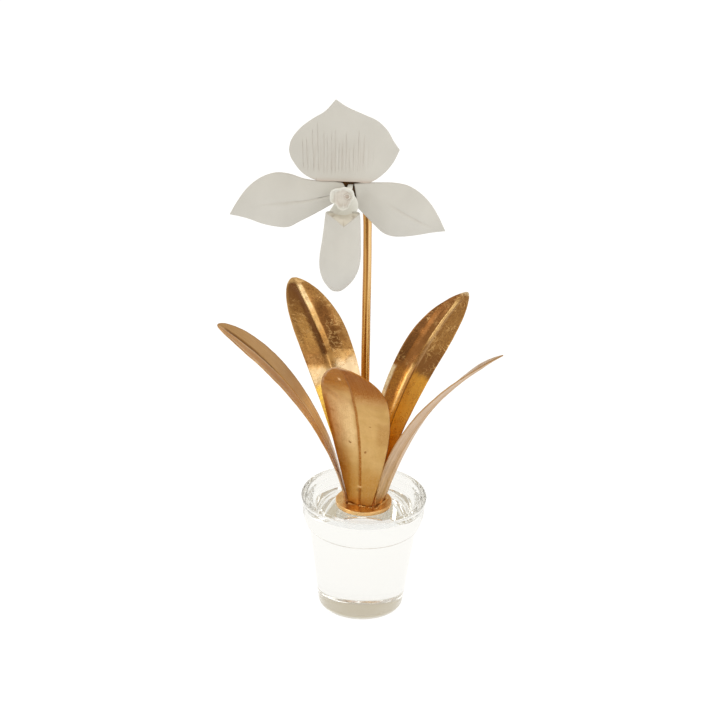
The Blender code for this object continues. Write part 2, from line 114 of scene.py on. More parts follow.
# How softly a blade folds along its midrib, and how far its faces come down for it
FOLD_SOFT = (0.003, 0.055)
LEAF_TERMS = (
    "azimuth", "turn", "root_radius", "length", "width", "wide_at", "root_width", "taper", "lean_root",
    "lean_tip", "bend", "roll_root", "roll_tip", "fold", "groove",
)
LEAF_ROWS = {
    "leaf_front": (-107, -4, 8, 125, 41.5, 0.63, 0.35, 1.05, 0, 51, 1.35, -2, 0, 4, (0.9, 0.35, 0)),
    "leaf_right": (-25, 3, 11, 140, 34.5, 0.58, 0.38, 0.95, 13, 54, 1.1, -4, -5, 6, (1.3, 0.6, 0)),
    "leaf_back_right": (41, 8, 8, 141, 34.5, 0.68, 0.32, 0.75, 6, 65, 1.1, -6, -9, 5, (2.3, 1, 2.4)),
    "leaf_back_left": (121, -6, 8.5, 147, 35, 0.67, 0.33, 0.65, 9, 74, 0.95, 3, 6, 5, (2.3, 1, 0.4)),
    "leaf_left": (187, -3, 10.5, 144, 34, 0.66, 0.27, 0.6, 15, 57, 1.2, -4, -3, 5, (1.2, 0.6, 0)),
}
LEAVES = {name: dict(zip(LEAF_TERMS, row)) for name, row in LEAF_ROWS.items()}

# Bloom. Outlines are (across, up) in its leaning plane, and depth is counted out of its face.
BLOOM_HUB = (-16.0, -9.0, 271.2)
BLOOM_LEAN = 10
PETAL_THICKNESS = 1.6
PETAL_BASE_DEPTH = 0.6
PETAL_CROWN = 2.6
PETAL_SWELL = ((0.5, 17.0, 4.0),)
SEPAL_LOWER_EDGE = (
    (-33.4, 24.8), (-32.4, 21.2), (-30, 17.3), (-25, 11.8), (-17.4, 8.2), (-8, 8.1), (4, 8.1),
    (14, 8.2), (20.7, 12.9), (25.6, 18.7), (29.7, 26.8),
)
SEPAL_UPPER_LEFT = (
    (-33.4, 24.8), (-32.6, 29.4), (-27.4, 37.5), (-20.8, 43.1), (-13.5, 48), (-7.5, 54.9),
)
SEPAL_UPPER_RIGHT = (
    (-7.5, 54.9), (-1.5, 51.2), (8.1, 47.1), (17.4, 42.8), (22.6, 37.7), (26.3, 31.6), (29.7, 26.8),
)
SEPAL_BULGE = 0.0028
SEPAL_FOOT = 8.1
# Grooves of the sepal: place across at the foot and at the top, height of both ends over the foot, depth
SEPAL_GROOVES = (
    (-24.6, -26, 6, 25, 0.3), (-22, -23.6, 5, 25, 0.34), (-18.7, -20.4, 4.5, 30, 0.42),
    (-16, -17.6, 4.5, 34, 0.5), (-12.8, -13.7, 3.5, 29, 0.4), (-11, -11.9, 3.5, 27, 0.3),
    (-8.6, -9.3, 3, 29, 0.36), (-6.5, -7.2, 4, 30, 0.4), (-4.6, -5, 5, 23, 0.2),
    (-2.8, -3.2, 4.5, 24, 0.26), (-0.8, -1, 5, 29, 0.32), (1.4, 1.3, 5.5, 20, 0.18),
    (3.6, 3.6, 5, 22, 0.2), (6, 6.2, 5, 30, 0.36), (9, 9.4, 6, 28, 0.24),
    (11.6, 12.1, 7, 23, 0.12), (14.3, 15, 8, 21, 0.08),
)
SEPAL_GROOVE_WIDTH = 0.34
SEPAL_RIB_WIDTH = 0.75
SEPAL_RIB_DEPTH = 0.16
SEPAL_SWELL = ((0.35, 14, 2),)
PETAL_LEFT_UPPER = (
    (-0.6, 4.3), (-2, 7), (-5, 7.7), (-14, 7.8), (-24.9, 8.7), (-32.4, 10.6), (-40, 10.7),
    (-48.6, 7.1), (-57.1, -0.7), (-62.2, -8.5), (-67, -17.7),
)
PETAL_LEFT_LOWER = (
    (-7.3, -5.2), (-16.9, -11.3), (-25.9, -16.7), (-32.8, -20.7), (-40.9, -21.1), (-47.9, -20.4),
    (-55, -18.7), (-60.9, -17.9), (-67, -17.7),
)
PETAL_RIGHT_UPPER = (
    (4.4, 6.9), (10.6, 7.7), (19.1, 7.9), (27.7, 7.5), (34.6, 5.9), (41, 2), (48.2, -5.4),
    (53.2, -13.5), (57.6, -22.8),
)
PETAL_RIGHT_LOWER = (
    (7, -7.3), (12.4, -12.8), (17.1, -17.5), (22.4, -22.1), (27.1, -23.9), (32.8, -24.3),
    (40.9, -23.9), (48.9, -23.1), (57.6, -22.8),
)
PETALS = {
    "petal_left": {
        "lower": PETAL_LEFT_LOWER, "upper": PETAL_LEFT_UPPER, "sweep": 0.0038, "rib": (0.5, 0.42),
        "line": (0.02, 0.1, 0.45, 0.75), "dimples": ((-47, -12, 8, -0.6), (-24, 1.5, 7, 0.4)),
    },
    "petal_right": {
        "lower": PETAL_RIGHT_LOWER, "upper": PETAL_RIGHT_UPPER, "sweep": 0.0046, "rib": (0.73, 0.26),
        "line": (0.3, 0.44, 0.66, 0.86), "dimples": ((9.3, 1, 4, -0.7), (12, -6.5, 3.5, 0.4)),
    },
}

# Pouch, its rim and the throat in its mouth
POUCH_TOP = (-1.4, 12.6, -7.25)
POUCH_LEAN = 8
# How far down each station lies, and its half width and half depth
POUCH_STATIONS = (
    (0, 9.9, 8.6), (9, 10.5, 9.6), (18, 11.2, 10.6), (27, 11.8, 11), (33.5, 11.1, 10.2),
    (39, 9, 8.2), (43.5, 5.6, 5), (46, 2.6, 2.3), (46.8, 0, 0),
)
POUCH_SIDES = 144
POUCH_DRIFT = -2.4
POUCH_WALL = 1.5
POUCH_NOTCH = 5.9
POUCH_NOTCH_SHARPNESS = 1.3
POUCH_BACK_DIP = 1.8
POUCH_NOTCH_TURN = 5.0
THROAT_DROP = 0.8
THROAT_MIDDLE = 3.4
THROAT_THICKNESS = 2.5
THROAT_HOLLOW = 0.9

# Column: its core, the pin behind it, the staminode, the neck and the stalk, and the mount that holds it
CORE_RADIUS = 4.6
CORE_BACK = 1.8
CORE_FRONT = 9.4
PIN_RADIUS = 1.6
PIN_ACROSS = 0.9
STAMINODE_MIDDLE = (-2, 0.2)
STAMINODE_DEPTH = 9.0
# Staminode: its outline as (angle, radius), and its rim as (share of the outline, height)
STAMINODE_RADII = (
    (0, 6.3), (18, 7.2), (36, 7.7), (50, 7.8), (66, 7.3), (84, 6.8), (104, 6.4), (124, 7.2), (142, 7.9),
    (157, 7.7), (177, 7.1), (200, 7.1), (209, 5.9), (216, 5), (235, 5.5), (255, 6.7), (277, 7),
    (298, 6.8), (317, 5.8), (339, 5.2),
)
STAMINODE_RIM = (
    (0.45, -1.6), (0.75, -0.5), (0.93, 0.3), (1, 1), (0.995, 1.7), (0.955, 2.15), (0.905, 2.1),
    (0.87, 1.75), (0.835, 1.35),
)
# Folds of the staminode's floor: across and up from its middle, half width, half height, how far they rise
STAMINODE_FOLDS = (
    (-1.3, 0.8, 0.7, 2.4, 1.1), (-3.6, 0.2, 0.6, 2.6, 0.7), (0.6, -2.8, 0.6, 2.2, 0.7),
)
STAMINODE_EYE = (2.7, 1.3)
# Neck: height of each station in the bloom's plane, its middle across, and its half width
NECK_STATIONS = ((1.4, 0.2, 4.4), (-2, 0.4, 6.2), (-5.2, 0, 7.2), (-9, -1.6, 7.9), (-11.6, -2, 7.4))
NECK_BACK = 3.2
NECK_FORWARD = 3.2
NECK_THICKNESS = 1.5
STALK_RADIUS = 1.6
STALK_FOOT = (1.3, 2, 5)
STALK_TOP = (2.5, 6.2, -1.6)
MOUNT_MIDDLE = (1, 2.5)
MOUNT_RADIUS = 9.3
MOUNT_FRONT = -1.0
MOUNT_THICKNESS = 2.4
KNUCKLE_RADIUS = 4.2

# Floor and lights, in metres. Each softbox has its place, its size, its brightness, and whether it is seen
# through the crystal.
FLOOR_RADIUS = 30.0
FLOOR_DROP = 0.0004
LIGHT_AIM = (0, 0, 0.17)
SOFTBOXES = {
    "left": ((-1.3, -0.7, 0.9), (0.45, 0.9), 2.4, False),
    "right": ((1.09, -0.23, 1.32), (0.9, 0.42), 1.85, True),
    "side": ((1.5, -0.5, 0.55), (0.5, 0.7), 1.3, False),
    "front": ((0.75, -1.15, 0.95), (0.5, 0.5), 2.4, True),
    "top": ((0.05, 0.1, 1.5), (0.6, 0.9), 1.5, True),
    "rear": ((-0.97, 0.5, 1.34), (0.42, 0.42), 1.65, True),
}
# The room's colours from its lowest to its highest point, and the rod's painted reflection from its left to
# its right
ROOM_TONES = (
    (0, (0.97, 0.97, 0.95)), (0.25, (0.84, 0.81, 0.74)), (0.44, (0.64, 0.57, 0.43)),
    (0.7, (0.56, 0.5, 0.41)), (1, (0.5, 0.45, 0.38)),
)
ROD_PAINTED_REFLECTION = (
    (0, (0.62, 0.44, 0.27)), (0.1, (0.4, 0.17, 0.04)), (0.3, (0.62, 0.35, 0.11)),
    (0.44, (0.34, 0.14, 0.03)), (0.5, (0.16, 0.058, 0.013)), (0.57, (0.34, 0.14, 0.035)),
    (0.7, (0.88, 0.63, 0.31)), (0.84, (0.82, 0.55, 0.25)), (1, (0.48, 0.25, 0.08)),
)


def smooth_line(points, count):
    """A curve through the points, read off at evenly spaced places. It is cubic between each two."""
    points = np.array(points, float)
    knots = np.concatenate([[0.0], np.cumsum(np.linalg.norm(np.diff(points, axis=0), axis=1))])
    slopes = np.gradient(points, knots, axis=0)
    fine = np.linspace(0.0, knots[-1], 40 * len(points))
    i = np.clip(np.searchsorted(knots, fine, side="right") - 1, 0, len(points) - 2)
    span = knots[i + 1] - knots[i]
    t = ((fine - knots[i]) / span)[:, None]
    span = span[:, None]
    curve = (
        (2 * t**3 - 3 * t**2 + 1) * points[i]
        + (t**3 - 2 * t**2 + t) * span * slopes[i]
        + (3 * t**2 - 2 * t**3) * points[i + 1]
        + (t**3 - t**2) * span * slopes[i + 1]
    )
    along = np.concatenate([[0.0], np.cumsum(np.linalg.norm(np.diff(curve, axis=0), axis=1))])
    wanted = np.linspace(0.0, along[-1], count)
    return coordinates(*(np.interp(wanted, along, axis) for axis in curve.T))


def coordinates(*axes):
    """Points from their coordinates, each of them an array or one number for all."""
    return np.stack(np.broadcast_arrays(*axes), axis=-1)


def unit(vectors):
    return vectors / np.maximum(np.linalg.norm(vectors, axis=-1, keepdims=True), 1e-9)


def clamped(values):
    return np.clip(values, 0, 1)


def bell(distance, width):
    """1 at no distance, falling away on both sides over about the width."""
    return np.exp(-((distance / width) ** 2))


def around(count):
    """Evenly spaced angles round a circle."""
    return np.linspace(0.0, 2 * pi, count, endpoint=False)


def noise_field(points, scale, seed=0.0):
    """Smooth noise from -1 to 1 at each point, with features of about the given size in millimetres."""
    flat = points.reshape(-1, 3) / scale + seed
    values = [noise.noise(Vector(point)) for point in flat]
    return np.array(values).reshape(points.shape[:-1])


def uneven(points, waves, seed=0.0):
    """The sum of waves of noise, each given by its height, its size and its own seed."""
    return sum(height * noise_field(points, size, seed + own) for height, size, own in waves)


def edge_spread(count):
    """Fractions from 0 to 1 that lie closer together near both ends."""
    even = np.linspace(0.0, 1.0, count)
    return even - 0.9 * np.sin(2 * pi * even) / (2 * pi)


def grid_normals(grid):
    """The unit normal of a grid of points. A row or column that shrinks to a point takes its neighbour's."""
    normals = np.cross(np.gradient(grid, axis=1), np.gradient(grid, axis=0))
    short = np.linalg.norm(normals, axis=-1) < 1e-7
    normals = unit(normals)
    for row in range(1, len(grid)):
        normals[row][short[row]] = normals[row - 1][short[row]]
    for row in range(len(grid) - 2, -1, -1):
        normals[row][short[row]] = normals[row + 1][short[row]]
    return normals


def rounded(distance, thickness):
    """Thickness at a distance from a rounded edge, which is nothing at the edge itself."""
    return thickness * np.sqrt(1 - (1 - clamped(distance / (thickness / 2))) ** 2)


def add_object(name, data):
    made = bpy.data.objects.new(name, data)
    bpy.context.scene.collection.objects.link(made)
    return made


def new_mesh(name, points, faces):
    mesh = bpy.data.meshes.new(name)
    mesh.from_pydata((points.reshape(-1, 3) * MM).tolist(), [], faces)
    return mesh


def set_mark(mesh, name, values):
    """Keeps a value for each point of a mesh, for its material to read."""
    layer = mesh.attributes.new(name, "FLOAT", "POINT")
    layer.data.foreach_set("value", values.reshape(-1).astype(np.float32))


def quads(index):
    """The faces between neighbours in a grid of point numbers."""
    a, b, d, e = index[:-1, :-1], index[:-1, 1:], index[1:, :-1], index[1:, 1:]
    return coordinates(a, b, e, d).reshape(-1, 4)


def weld(mesh):
    """Joins points that coincide and turns all faces outward."""
    shape = bmesh.new()
    shape.from_mesh(mesh)
    bmesh.ops.remove_doubles(shape, verts=shape.verts, dist=WELD_REACH * MM)
    bmesh.ops.dissolve_degenerate(shape, edges=shape.edges, dist=SLIVER * MM)
    bmesh.ops.recalc_face_normals(shape, faces=shape.faces)
    shape.to_mesh(mesh)
    shape.free()
    return mesh


def sheet_mesh(name, grid, thickness, marks=None, ring=False):
    """A closed sheet about a grid of points, as thick as given at each, with marks for each point."""
    offset = grid_normals(grid) * (thickness[..., None] / 2)
    rows, columns = grid.shape[:2]
    count = rows * columns
    index = np.arange(count).reshape(rows, columns)
    if ring:
        index = np.concatenate([index, index[:, :1]], axis=1)
    front = quads(index)
    faces = [front, front[:, ::-1] + count]
    sides = [(index[0, 1:], index[0, :-1]), (index[-1, :-1], index[-1, 1:])]
    if not ring:
        sides += [(index[:-1, 0], index[1:, 0]), (index[1:, -1], index[:-1, -1])]
    faces += [coordinates(a, b, b + count, a + count) for a, b in sides]
    mesh = new_mesh(name, np.concatenate([grid + offset, grid - offset]), np.concatenate(faces).tolist())
    for mark, values in (marks or {}).items():
        set_mark(mesh, mark, np.tile(np.broadcast_to(values, (rows, columns)), (2, 1)))
    set_mark(mesh, "reverse", np.repeat((0.0, 1.0), count))
    return weld(mesh)


def ring_mesh(name, rings):
    """A closed body through rings of equally many points, with flat or pointed ends."""
    rings = np.array(rings, float)
    rows, columns = rings.shape[:2]
    index = np.arange(rows * columns).reshape(rows, columns)
    ends = [index[0].tolist(), index[-1].tolist()]
    index = np.concatenate([index, index[:, :1]], axis=1)
    return weld(new_mesh(name, rings, quads(index).tolist() + ends))


def turned_mesh(name, profile, sides, wobble=None):
    """A body turned round Z from a profile of (radius, height)."""
    turn = around(sides)
    rings = np.array([coordinates(radius * np.cos(turn), radius * np.sin(turn), z) for radius, z in profile])
    return ring_mesh(name, wobble(rings) if wobble else rings)


def add_piece(name, mesh, finish, slot, *nodes, sharp=None):
    """A mesh as a piece of the object that stands for the named solids."""
    mesh.materials.clear()
    mesh.materials.append(finish)
    mesh.shade_smooth()
    if sharp:
        mesh.set_sharp_from_angle(angle=radians(sharp))
    piece = add_object(name, mesh)
    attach(piece, "root")
    if nodes:
        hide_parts(*nodes)


def quarter(middle, radii, start, steps):
    """Points of a quarter of an ellipse round a middle, clockwise from the start angle."""
    angles = [radians(start) - pi / 2 * k / steps for k in range(steps + 1)]
    return [(middle[0] + radii[0] * cos(a), middle[1] + radii[1] * sin(a)) for a in angles]


def held(profile, hold=0.12, least=1.0):
    """The profile with extra points near the ends of its long straight runs, which keep their faces flat."""
    made = [profile[0]]
    for first, second in zip(profile, profile[1:]):
        first, second = Vector(first), Vector(second)
        run = second - first
        if run.length > least:
            step = run.normalized() * hold
            made += [tuple(first + step), tuple(second - step)]
        made.append(tuple(second))
    return made


def pot_profile():
    floor = POT_HEIGHT - RECESS_DEPTH
    rim = POT_RIM_ROUND
    foot, foot_rise = POT_FOOT_ROUND
    band = (POT_BAND_RADIUS - POT_CREASE_RADIUS, POT_BAND_Z - POT_CREASE_Z)
    wall = Vector((RECESS_TOP_RADIUS - rim - RECESS_FLOOR_RADIUS, RECESS_DEPTH - rim))
    out, climb = wall.normalized() * RECESS_SOFT
    points = [
        (0.0, floor),
        (RECESS_FLOOR_RADIUS - RECESS_SOFT, floor),
        (RECESS_FLOOR_RADIUS - 0.3 * RECESS_SOFT, floor + 0.1),
        (RECESS_FLOOR_RADIUS + out, floor + climb),
        (RECESS_TOP_RADIUS - rim, POT_HEIGHT - rim),
        (RECESS_TOP_RADIUS - 0.3, POT_HEIGHT - 0.2),
        (RECESS_TOP_RADIUS + 0.3, POT_HEIGHT),
    ]
    points += quarter((POT_RIM_RADIUS - rim, POT_HEIGHT - rim), (rim, rim), 90, 5)
    points += quarter((POT_CREASE_RADIUS, POT_BAND_Z), band, 0, 16)
    points += quarter((POT_FOOT_RADIUS - foot, foot_rise), POT_FOOT_ROUND, 0, 10)
    return held([*points, (0.0, 0.0)])


def make_pot():
    mesh = turned_mesh("pot_crystal", pot_profile(), POT_SIDES)
    add_piece("pot_crystal", mesh, crystal(), "crystal", "glass_pot", sharp=24)


def make_disc():
    edge = DISC_ROUND
    inside = DISC_RADIUS - edge
    profile = [(0.0, DISC_TOP)]
    profile += [(r, DISC_TOP) for r in np.linspace(2.0, inside - 0.3, 14)]
    profile += quarter((inside, DISC_TOP - edge), (edge, edge), 90, 5)
    profile += quarter((inside, DISC_Z + edge), (edge, edge), 0, 5)
    profile += [(0.0, DISC_Z)]

    def hammered(rings):
        raised = rings[..., 2] >= DISC_Z + 0.5
        bumps = np.where(raised, uneven(rings, DISC_DENTS), 0.0)
        return rings + bumps[..., None] * unit(rings - (0.0, 0.0, DISC_Z - 8.0))

    mesh = turned_mesh("disc", profile, DISC_SIDES, hammered)
    add_piece("disc", mesh, gilded_disc(), "gilded_disc", "base_disc")
    mesh.materials.append(glowing_underside())
    for face in mesh.polygons:
        face.material_index = int(face.normal.z < -0.7)


def make_rod():
    line = smooth_line(ROD_POINTS, ROD_STEPS)
    tangent = unit(np.gradient(line, axis=0))
    side = unit(np.cross(tangent, (0.0, 1.0, 0.0)))
    front = np.cross(side, tangent)
    turn = around(ROD_SIDES)[None, :, None]
    ring = np.cos(turn) * side[:, None] + np.sin(turn) * front[:, None]
    rings = line[:, None] + ROD_RADIUS * ring
    rings = rings + uneven(rings, ROD_DENTS)[..., None] * ring
    add_piece("rod", ring_mesh("rod", rings), rod_gold(), "gold_leaf", "stem", sharp=50)


def leaf_frame(leaf, rows):
    """The midrib's points, and at each the way across the blade and the way out of its upper face."""
    s = np.linspace(0.0, 1.0, rows)
    azimuth = np.radians(leaf["azimuth"] + leaf["turn"] * s)
    lean = np.radians(leaf["lean_root"] + (leaf["lean_tip"] - leaf["lean_root"]) * s ** leaf["bend"])
    roll = np.radians(leaf["roll_root"] + (leaf["roll_tip"] - leaf["roll_root"]) * s)
    outward = coordinates(np.cos(azimuth), np.sin(azimuth), 0.0)
    across = coordinates(-np.sin(azimuth), np.cos(azimuth), 0.0)
    upward = np.array([0.0, 0.0, 1.0])

    def blend(angle, first, second):
        return np.cos(angle)[:, None] * first + np.sin(angle)[:, None] * second

    along = blend(lean, upward, outward)
    normal = blend(lean, -outward, upward)
    steps = (along[1:] + along[:-1]) / 2 * leaf["length"] / (rows - 1)
    midrib = np.concatenate([np.zeros((1, 3)), np.cumsum(steps, axis=0)])
    midrib += leaf["root_radius"] * outward[0] + LEAF_ROOT_Z * upward
    return s, midrib, blend(roll, across, normal), blend(roll, normal, -across)


def leaf_half_width(leaf, s):
    """Half the blade's width: a quarter wave from the root to the widest place, then in to the tip."""
    wide_at = leaf["wide_at"]
    root = leaf["root_width"]
    rise = root + (1 - root) * np.sin(pi / 2 * clamped(s / wide_at))
    fall = (1 - clamped((s - wide_at) / (1 - wide_at)) ** 2) ** leaf["taper"]
    return leaf["width"] / 2 * np.where(s < wide_at, rise, fall)


def make_leaf(name, leaf, seed, finish):
    """A stamped leaf with a midrib groove, a slightly hammered blade and a rounded edge."""
    rows, columns = LEAF_STEPS
    s, midrib, across, normal = leaf_frame(leaf, rows)
    half = leaf_half_width(leaf, s)[:, None]
    s = s[:, None]
    t = 2 * edge_spread(columns)[None, :] - 1
    fold = radians(leaf["fold"])
    place = half * t
    groove_half, groove_depth, shift = leaf["groove"]
    groove = np.minimum(1.0, half / 6.0) * clamped((1 - s) / 0.12) * bell(place - shift, groove_half)
    middle = midrib[:, None] + (place * cos(fold))[..., None] * across[:, None]
    lift = half * (np.sqrt(t**2 + FOLD_SOFT[0]) - FOLD_SOFT[1]) * sin(fold)
    out = lift - groove_depth * groove + uneven(middle, LEAF_DENTS, seed) * np.minimum(1.0, half / 8.0)
    grid = middle + out[..., None] * normal[:, None]
    grid[0, :, 2] = LEAF_ROOT_Z
    thickness = rounded(half * (1 - np.abs(t)), LEAF_THICKNESS)
    mesh = sheet_mesh(name, grid, thickness, {"across": t, "along": s, "off_rib": place})
    add_piece(name + "_gilt", mesh, finish, "gold_leaf", name)


def make_leaves():
    for number, (name, leaf) in enumerate(LEAVES.items(), 1):
        make_leaf(name, leaf, 11.0 * number, leaf_gold(name))


def lumpy_ball(place, size, seed=0.0, lumps=0.0, turn=0.0):
    """A ball with a radius for each axis, turned about Z, with soft lumps."""
    shape = bmesh.new()
    bmesh.ops.create_icosphere(shape, subdivisions=4, radius=1.0)
    spin = Matrix.Rotation(turn, 3, "Z")
    for vert in shape.verts:
        lump = 1 + lumps * noise.noise(vert.co * 1.3 + Vector((seed, 0, 0)))
        vert.co = (Vector(place) + spin @ Vector([c * r * lump for c, r in zip(vert.co, size)])) * MM
    mesh = bpy.data.meshes.new("ball")
    shape.to_mesh(mesh)
    shape.free()
    return mesh


def make_welds():
    """Beads of solder along both faces of each leaf's root, and a collar round the rod's foot."""
    balls = [lumpy_ball((ROD_POINTS[0][0], 0.0, DISC_TOP + 0.1), ROD_COLLAR, 40.0, 0.12)]
    seed = 0.0
    for leaf in LEAVES.values():
        _, midrib, across, normal = leaf_frame(leaf, 2)
        half = leaf_half_width(leaf, np.array([0.0]))[0]
        turn = radians(leaf["azimuth"] + 90)
        for share in (-0.9, -0.45, 0.0, 0.45, 0.9):
            for face in (-1, 1):
                seed += 1.7
                spot = midrib[0] + (share + 0.12 * sin(seed)) * half * across[0] + face * 0.9 * normal[0]
                spot[2] = DISC_TOP + 0.02
                size = (1.8 + 0.5 * sin(2 * seed), 0.8 + 0.2 * cos(3 * seed), 0.75 + 0.3 * sin(seed))
                balls.append(lumpy_ball(spot, size, seed, 0.2, turn))
    add_piece("weld_beads", merged("weld_beads", balls, FINE_VOXEL), weld_gold(), "gold_leaf")


def bloom_matrix():
    return Matrix.Translation(BLOOM_HUB) @ Matrix.Rotation(-radians(BLOOM_LEAN), 4, "X")


def placed(points, matrix):
    """The points moved by a matrix in millimetres."""
    return points @ np.array(matrix.to_3x3()).T + np.array(matrix.translation)


def faced(across, up, depth):
    """Places in the row's frame for places in the bloom's plane and their depth out of its face."""
    return placed(coordinates(across, -depth, up), bloom_matrix())


def make_sepal(finish):
    lower = smooth_line(SEPAL_LOWER_EDGE, 600)
    upper = np.concatenate([smooth_line(SEPAL_UPPER_LEFT, 300), smooth_line(SEPAL_UPPER_RIGHT, 300)[1:]])
    left, tip, right = lower[0, 0], SEPAL_UPPER_LEFT[-1][0], lower[-1, 0]
    across = np.concatenate([np.linspace(left, tip, 107), np.linspace(tip, right, 151)[1:]])
    low = np.interp(across, *lower.T)
    high = np.interp(across, *upper.T)
    share = edge_spread(76)[:, None]
    up = low * (1 - share) + high * share
    over = across + 0 * share
    height = up - SEPAL_FOOT
    grooves = np.zeros_like(up)
    for foot, top, start, end, sink in SEPAL_GROOVES:
        climb = clamped((height - start) / (end - start))
        fade = np.sin(pi * climb) ** 0.6 * (climb > 0) * (climb < 1)
        grooves += sink * fade * bell(over - foot - (top - foot) * climb, SEPAL_GROOVE_WIDTH)
    ribs = clamped(0.5 + noise_field(coordinates(over, 0.05 * up, 0.0), SEPAL_RIB_WIDTH, 6.0))
    ribbed = clamped((height - 3) / 5) * clamped((27 - height) / 8) * clamped((21 - np.abs(over + 7)) / 6)
    grooves += SEPAL_RIB_DEPTH * ribs * ribbed
    lip = 0.35 * bell(height, 1.6) * (np.abs(over) < 17)
    swell = uneven(coordinates(over, up, 0.0), SEPAL_SWELL) * clamped(height / 10)
    depth = PETAL_BASE_DEPTH - SEPAL_BULGE * over**2 - 0.03 * height - 0.0006 * height**2
    depth = depth - grooves + lip + swell
    edge = np.minimum(up - low, high - up) + 0.35 * np.minimum(over - left, right - over)
    thickness = rounded(np.where((share > 0) & (share < 1), edge, 0.0), PETAL_THICKNESS)
    # Marks for painted shade: in the grooves, and along the foot where the petals shade the sepal, whose lip
    # is also a little pinker
    marks = {"groove": clamped(grooves / 0.42), "edge": np.exp(-np.maximum(height, 0))}
    mesh = sheet_mesh("sepal_porcelain", faced(over, up, depth), thickness, marks)
    add_piece("sepal_porcelain", mesh, finish, "porcelain", "dorsal_sepal")


def make_petal(name, petal, finish):
    first = smooth_line(petal["lower"], 150)[:, None]
    second = smooth_line(petal["upper"], 150)[:, None]
    t = edge_spread(75)[None, :, None]
    across, up = np.moveaxis(first * (1 - t) + second * t, -1, 0)
    t = t[..., 0]
    s = np.linspace(0.0, 1.0, 150)[:, None]
    rib_start, rib_end = petal["rib"]
    wide = np.linalg.norm(second - first, axis=-1)
    off_rib = (t - rib_start - (rib_end - rib_start) * s) * wide
    begin, full, fading, end = petal["line"]
    shown = clamped((s - begin) / (full - begin)) * clamped((end - s) / (end - fading))
    groove = bell(off_rib, 0.6) * shown
    ridge = bell(off_rib + 1.7, 1.2) * shown
    inner = 4 * t * (1 - t)
    crown = PETAL_CROWN * inner * np.sin(pi * s) ** 2
    swell = uneven(coordinates(across, up, 0.0), PETAL_SWELL) * inner
    depth = PETAL_BASE_DEPTH - petal["sweep"] * across**2 + crown - 0.4 * groove + 0.3 * ridge + swell
    for dimple_across, dimple_up, size, rise_by in petal["dimples"]:
        depth = depth + rise_by * bell(np.hypot(across - dimple_across, up - dimple_up), size)
    thickness = rounded(np.minimum(t, 1 - t) * wide, PETAL_THICKNESS)
    # The groove mark gives painted shade along the petal's groove line
    mesh = sheet_mesh(name, faced(across, up, depth), thickness, {"groove": 0.4 * groove})
    add_piece(name + "_porcelain", mesh, finish, "porcelain", name)


def pouch_rim(angle):
    """How far the rim lies below its ears, at an angle counted from the front."""
    turned = angle - radians(POUCH_NOTCH_TURN)
    notch = POUCH_NOTCH * (1 - np.abs(np.sin(turned))) ** POUCH_NOTCH_SHARPNESS
    return np.where(np.cos(turned) > 0, notch, POUCH_BACK_DIP * np.cos(turned) ** 2)


def pouch_section(down):
    """The pouch's half width and half depth at the middle of its wall, and its drift, that far down."""
    below, wide, deep = smooth_line(POUCH_STATIONS, 400).T
    toe = clamped((below[-1] - down) / 1.2)
    half_wide = np.maximum(np.interp(down, below, wide) - POUCH_WALL / 2, 0) * toe
    half_deep = np.maximum(np.interp(down, below, deep) - POUCH_WALL / 2, 0) * toe
    return half_wide, half_deep, POUCH_DRIFT * (down / below[-1]) ** 2, toe


def pouch_placed(across, out, down):
    """Places in the row's frame for places in the pouch, which hangs at its own lean."""
    x, depth, z = POUCH_TOP
    tilt = Matrix.Rotation(radians(BLOOM_LEAN - POUCH_LEAN), 4, "X")
    matrix = bloom_matrix() @ Matrix.Translation((x, -depth, z)) @ tilt
    return placed(coordinates(across, -out, -down), matrix)


def make_pouch(finish):
    length = POUCH_STATIONS[-1][0]
    under = np.concatenate([np.linspace(0.0, 1.6, 14, endpoint=False), np.linspace(1.6, length, 76)])[:, None]
    angle = around(POUCH_SIDES)[None, :]
    down = under + pouch_rim(angle) * clamped(1 - under / 24.0) ** 2
    half_wide, half_deep, drift, toe = pouch_section(down)
    flare = 0.35 * np.exp(-under / 1.5) * (np.cos(angle) > 0)
    across = (half_wide + flare) * np.sin(angle) + drift
    out = (half_deep + flare) * np.cos(angle)
    grid = pouch_placed(across, out, down - POUCH_WALL / 2 * (1 - toe))
    wall = POUCH_WALL * (0.6 + 0.4 * clamped(under / 4.0))
    mesh = sheet_mesh("pouch_porcelain", grid, rounded(under + 0 * angle, wall), ring=True)
    add_piece("pouch_porcelain", mesh, finish, "porcelain", "pouch")


def make_throat(finish):
    """The scooped floor of the pouch's mouth, which runs down from its back to the notch in front."""
    angle = around(POUCH_SIDES)
    rim = pouch_rim(angle) + THROAT_DROP
    half_wide, half_deep, drift, _ = pouch_section(rim)
    levels = []
    for share in np.linspace(0.0, 1.0, 24):
        hollow = bell(share - 0.72, 0.16) * bell(np.abs(np.sin(angle)) - 0.97, 0.2)
        levels.append((share, rim * share**2 + THROAT_MIDDLE * (1 - share**2) + THROAT_HOLLOW * hollow))
    levels += [(share, rim + THROAT_THICKNESS) for share in (0.97, 0.5, 0.0)]
    rings = [
        pouch_placed(share * half_wide * np.sin(angle) + drift, share * half_deep * np.cos(angle), down)
        for share, down in levels
    ]
    mesh = ring_mesh("throat_porcelain", rings)
    # painted shade in the throat's hollows, by the groove mark
    mark_hollow_shade(mesh, 8, 0.22)
    add_piece("throat_porcelain", mesh, finish, "porcelain")


def rod_rings(middle, radii, back, front, sides=48):
    """Rings of a round body that comes straight out of the bloom's plane."""
    across, up = np.cos(around(sides)), np.sin(around(sides))
    depths = np.linspace(back, front, len(radii))
    return [faced(middle[0] + r * across, middle[1] + r * up, depth) for r, depth in zip(radii, depths)]


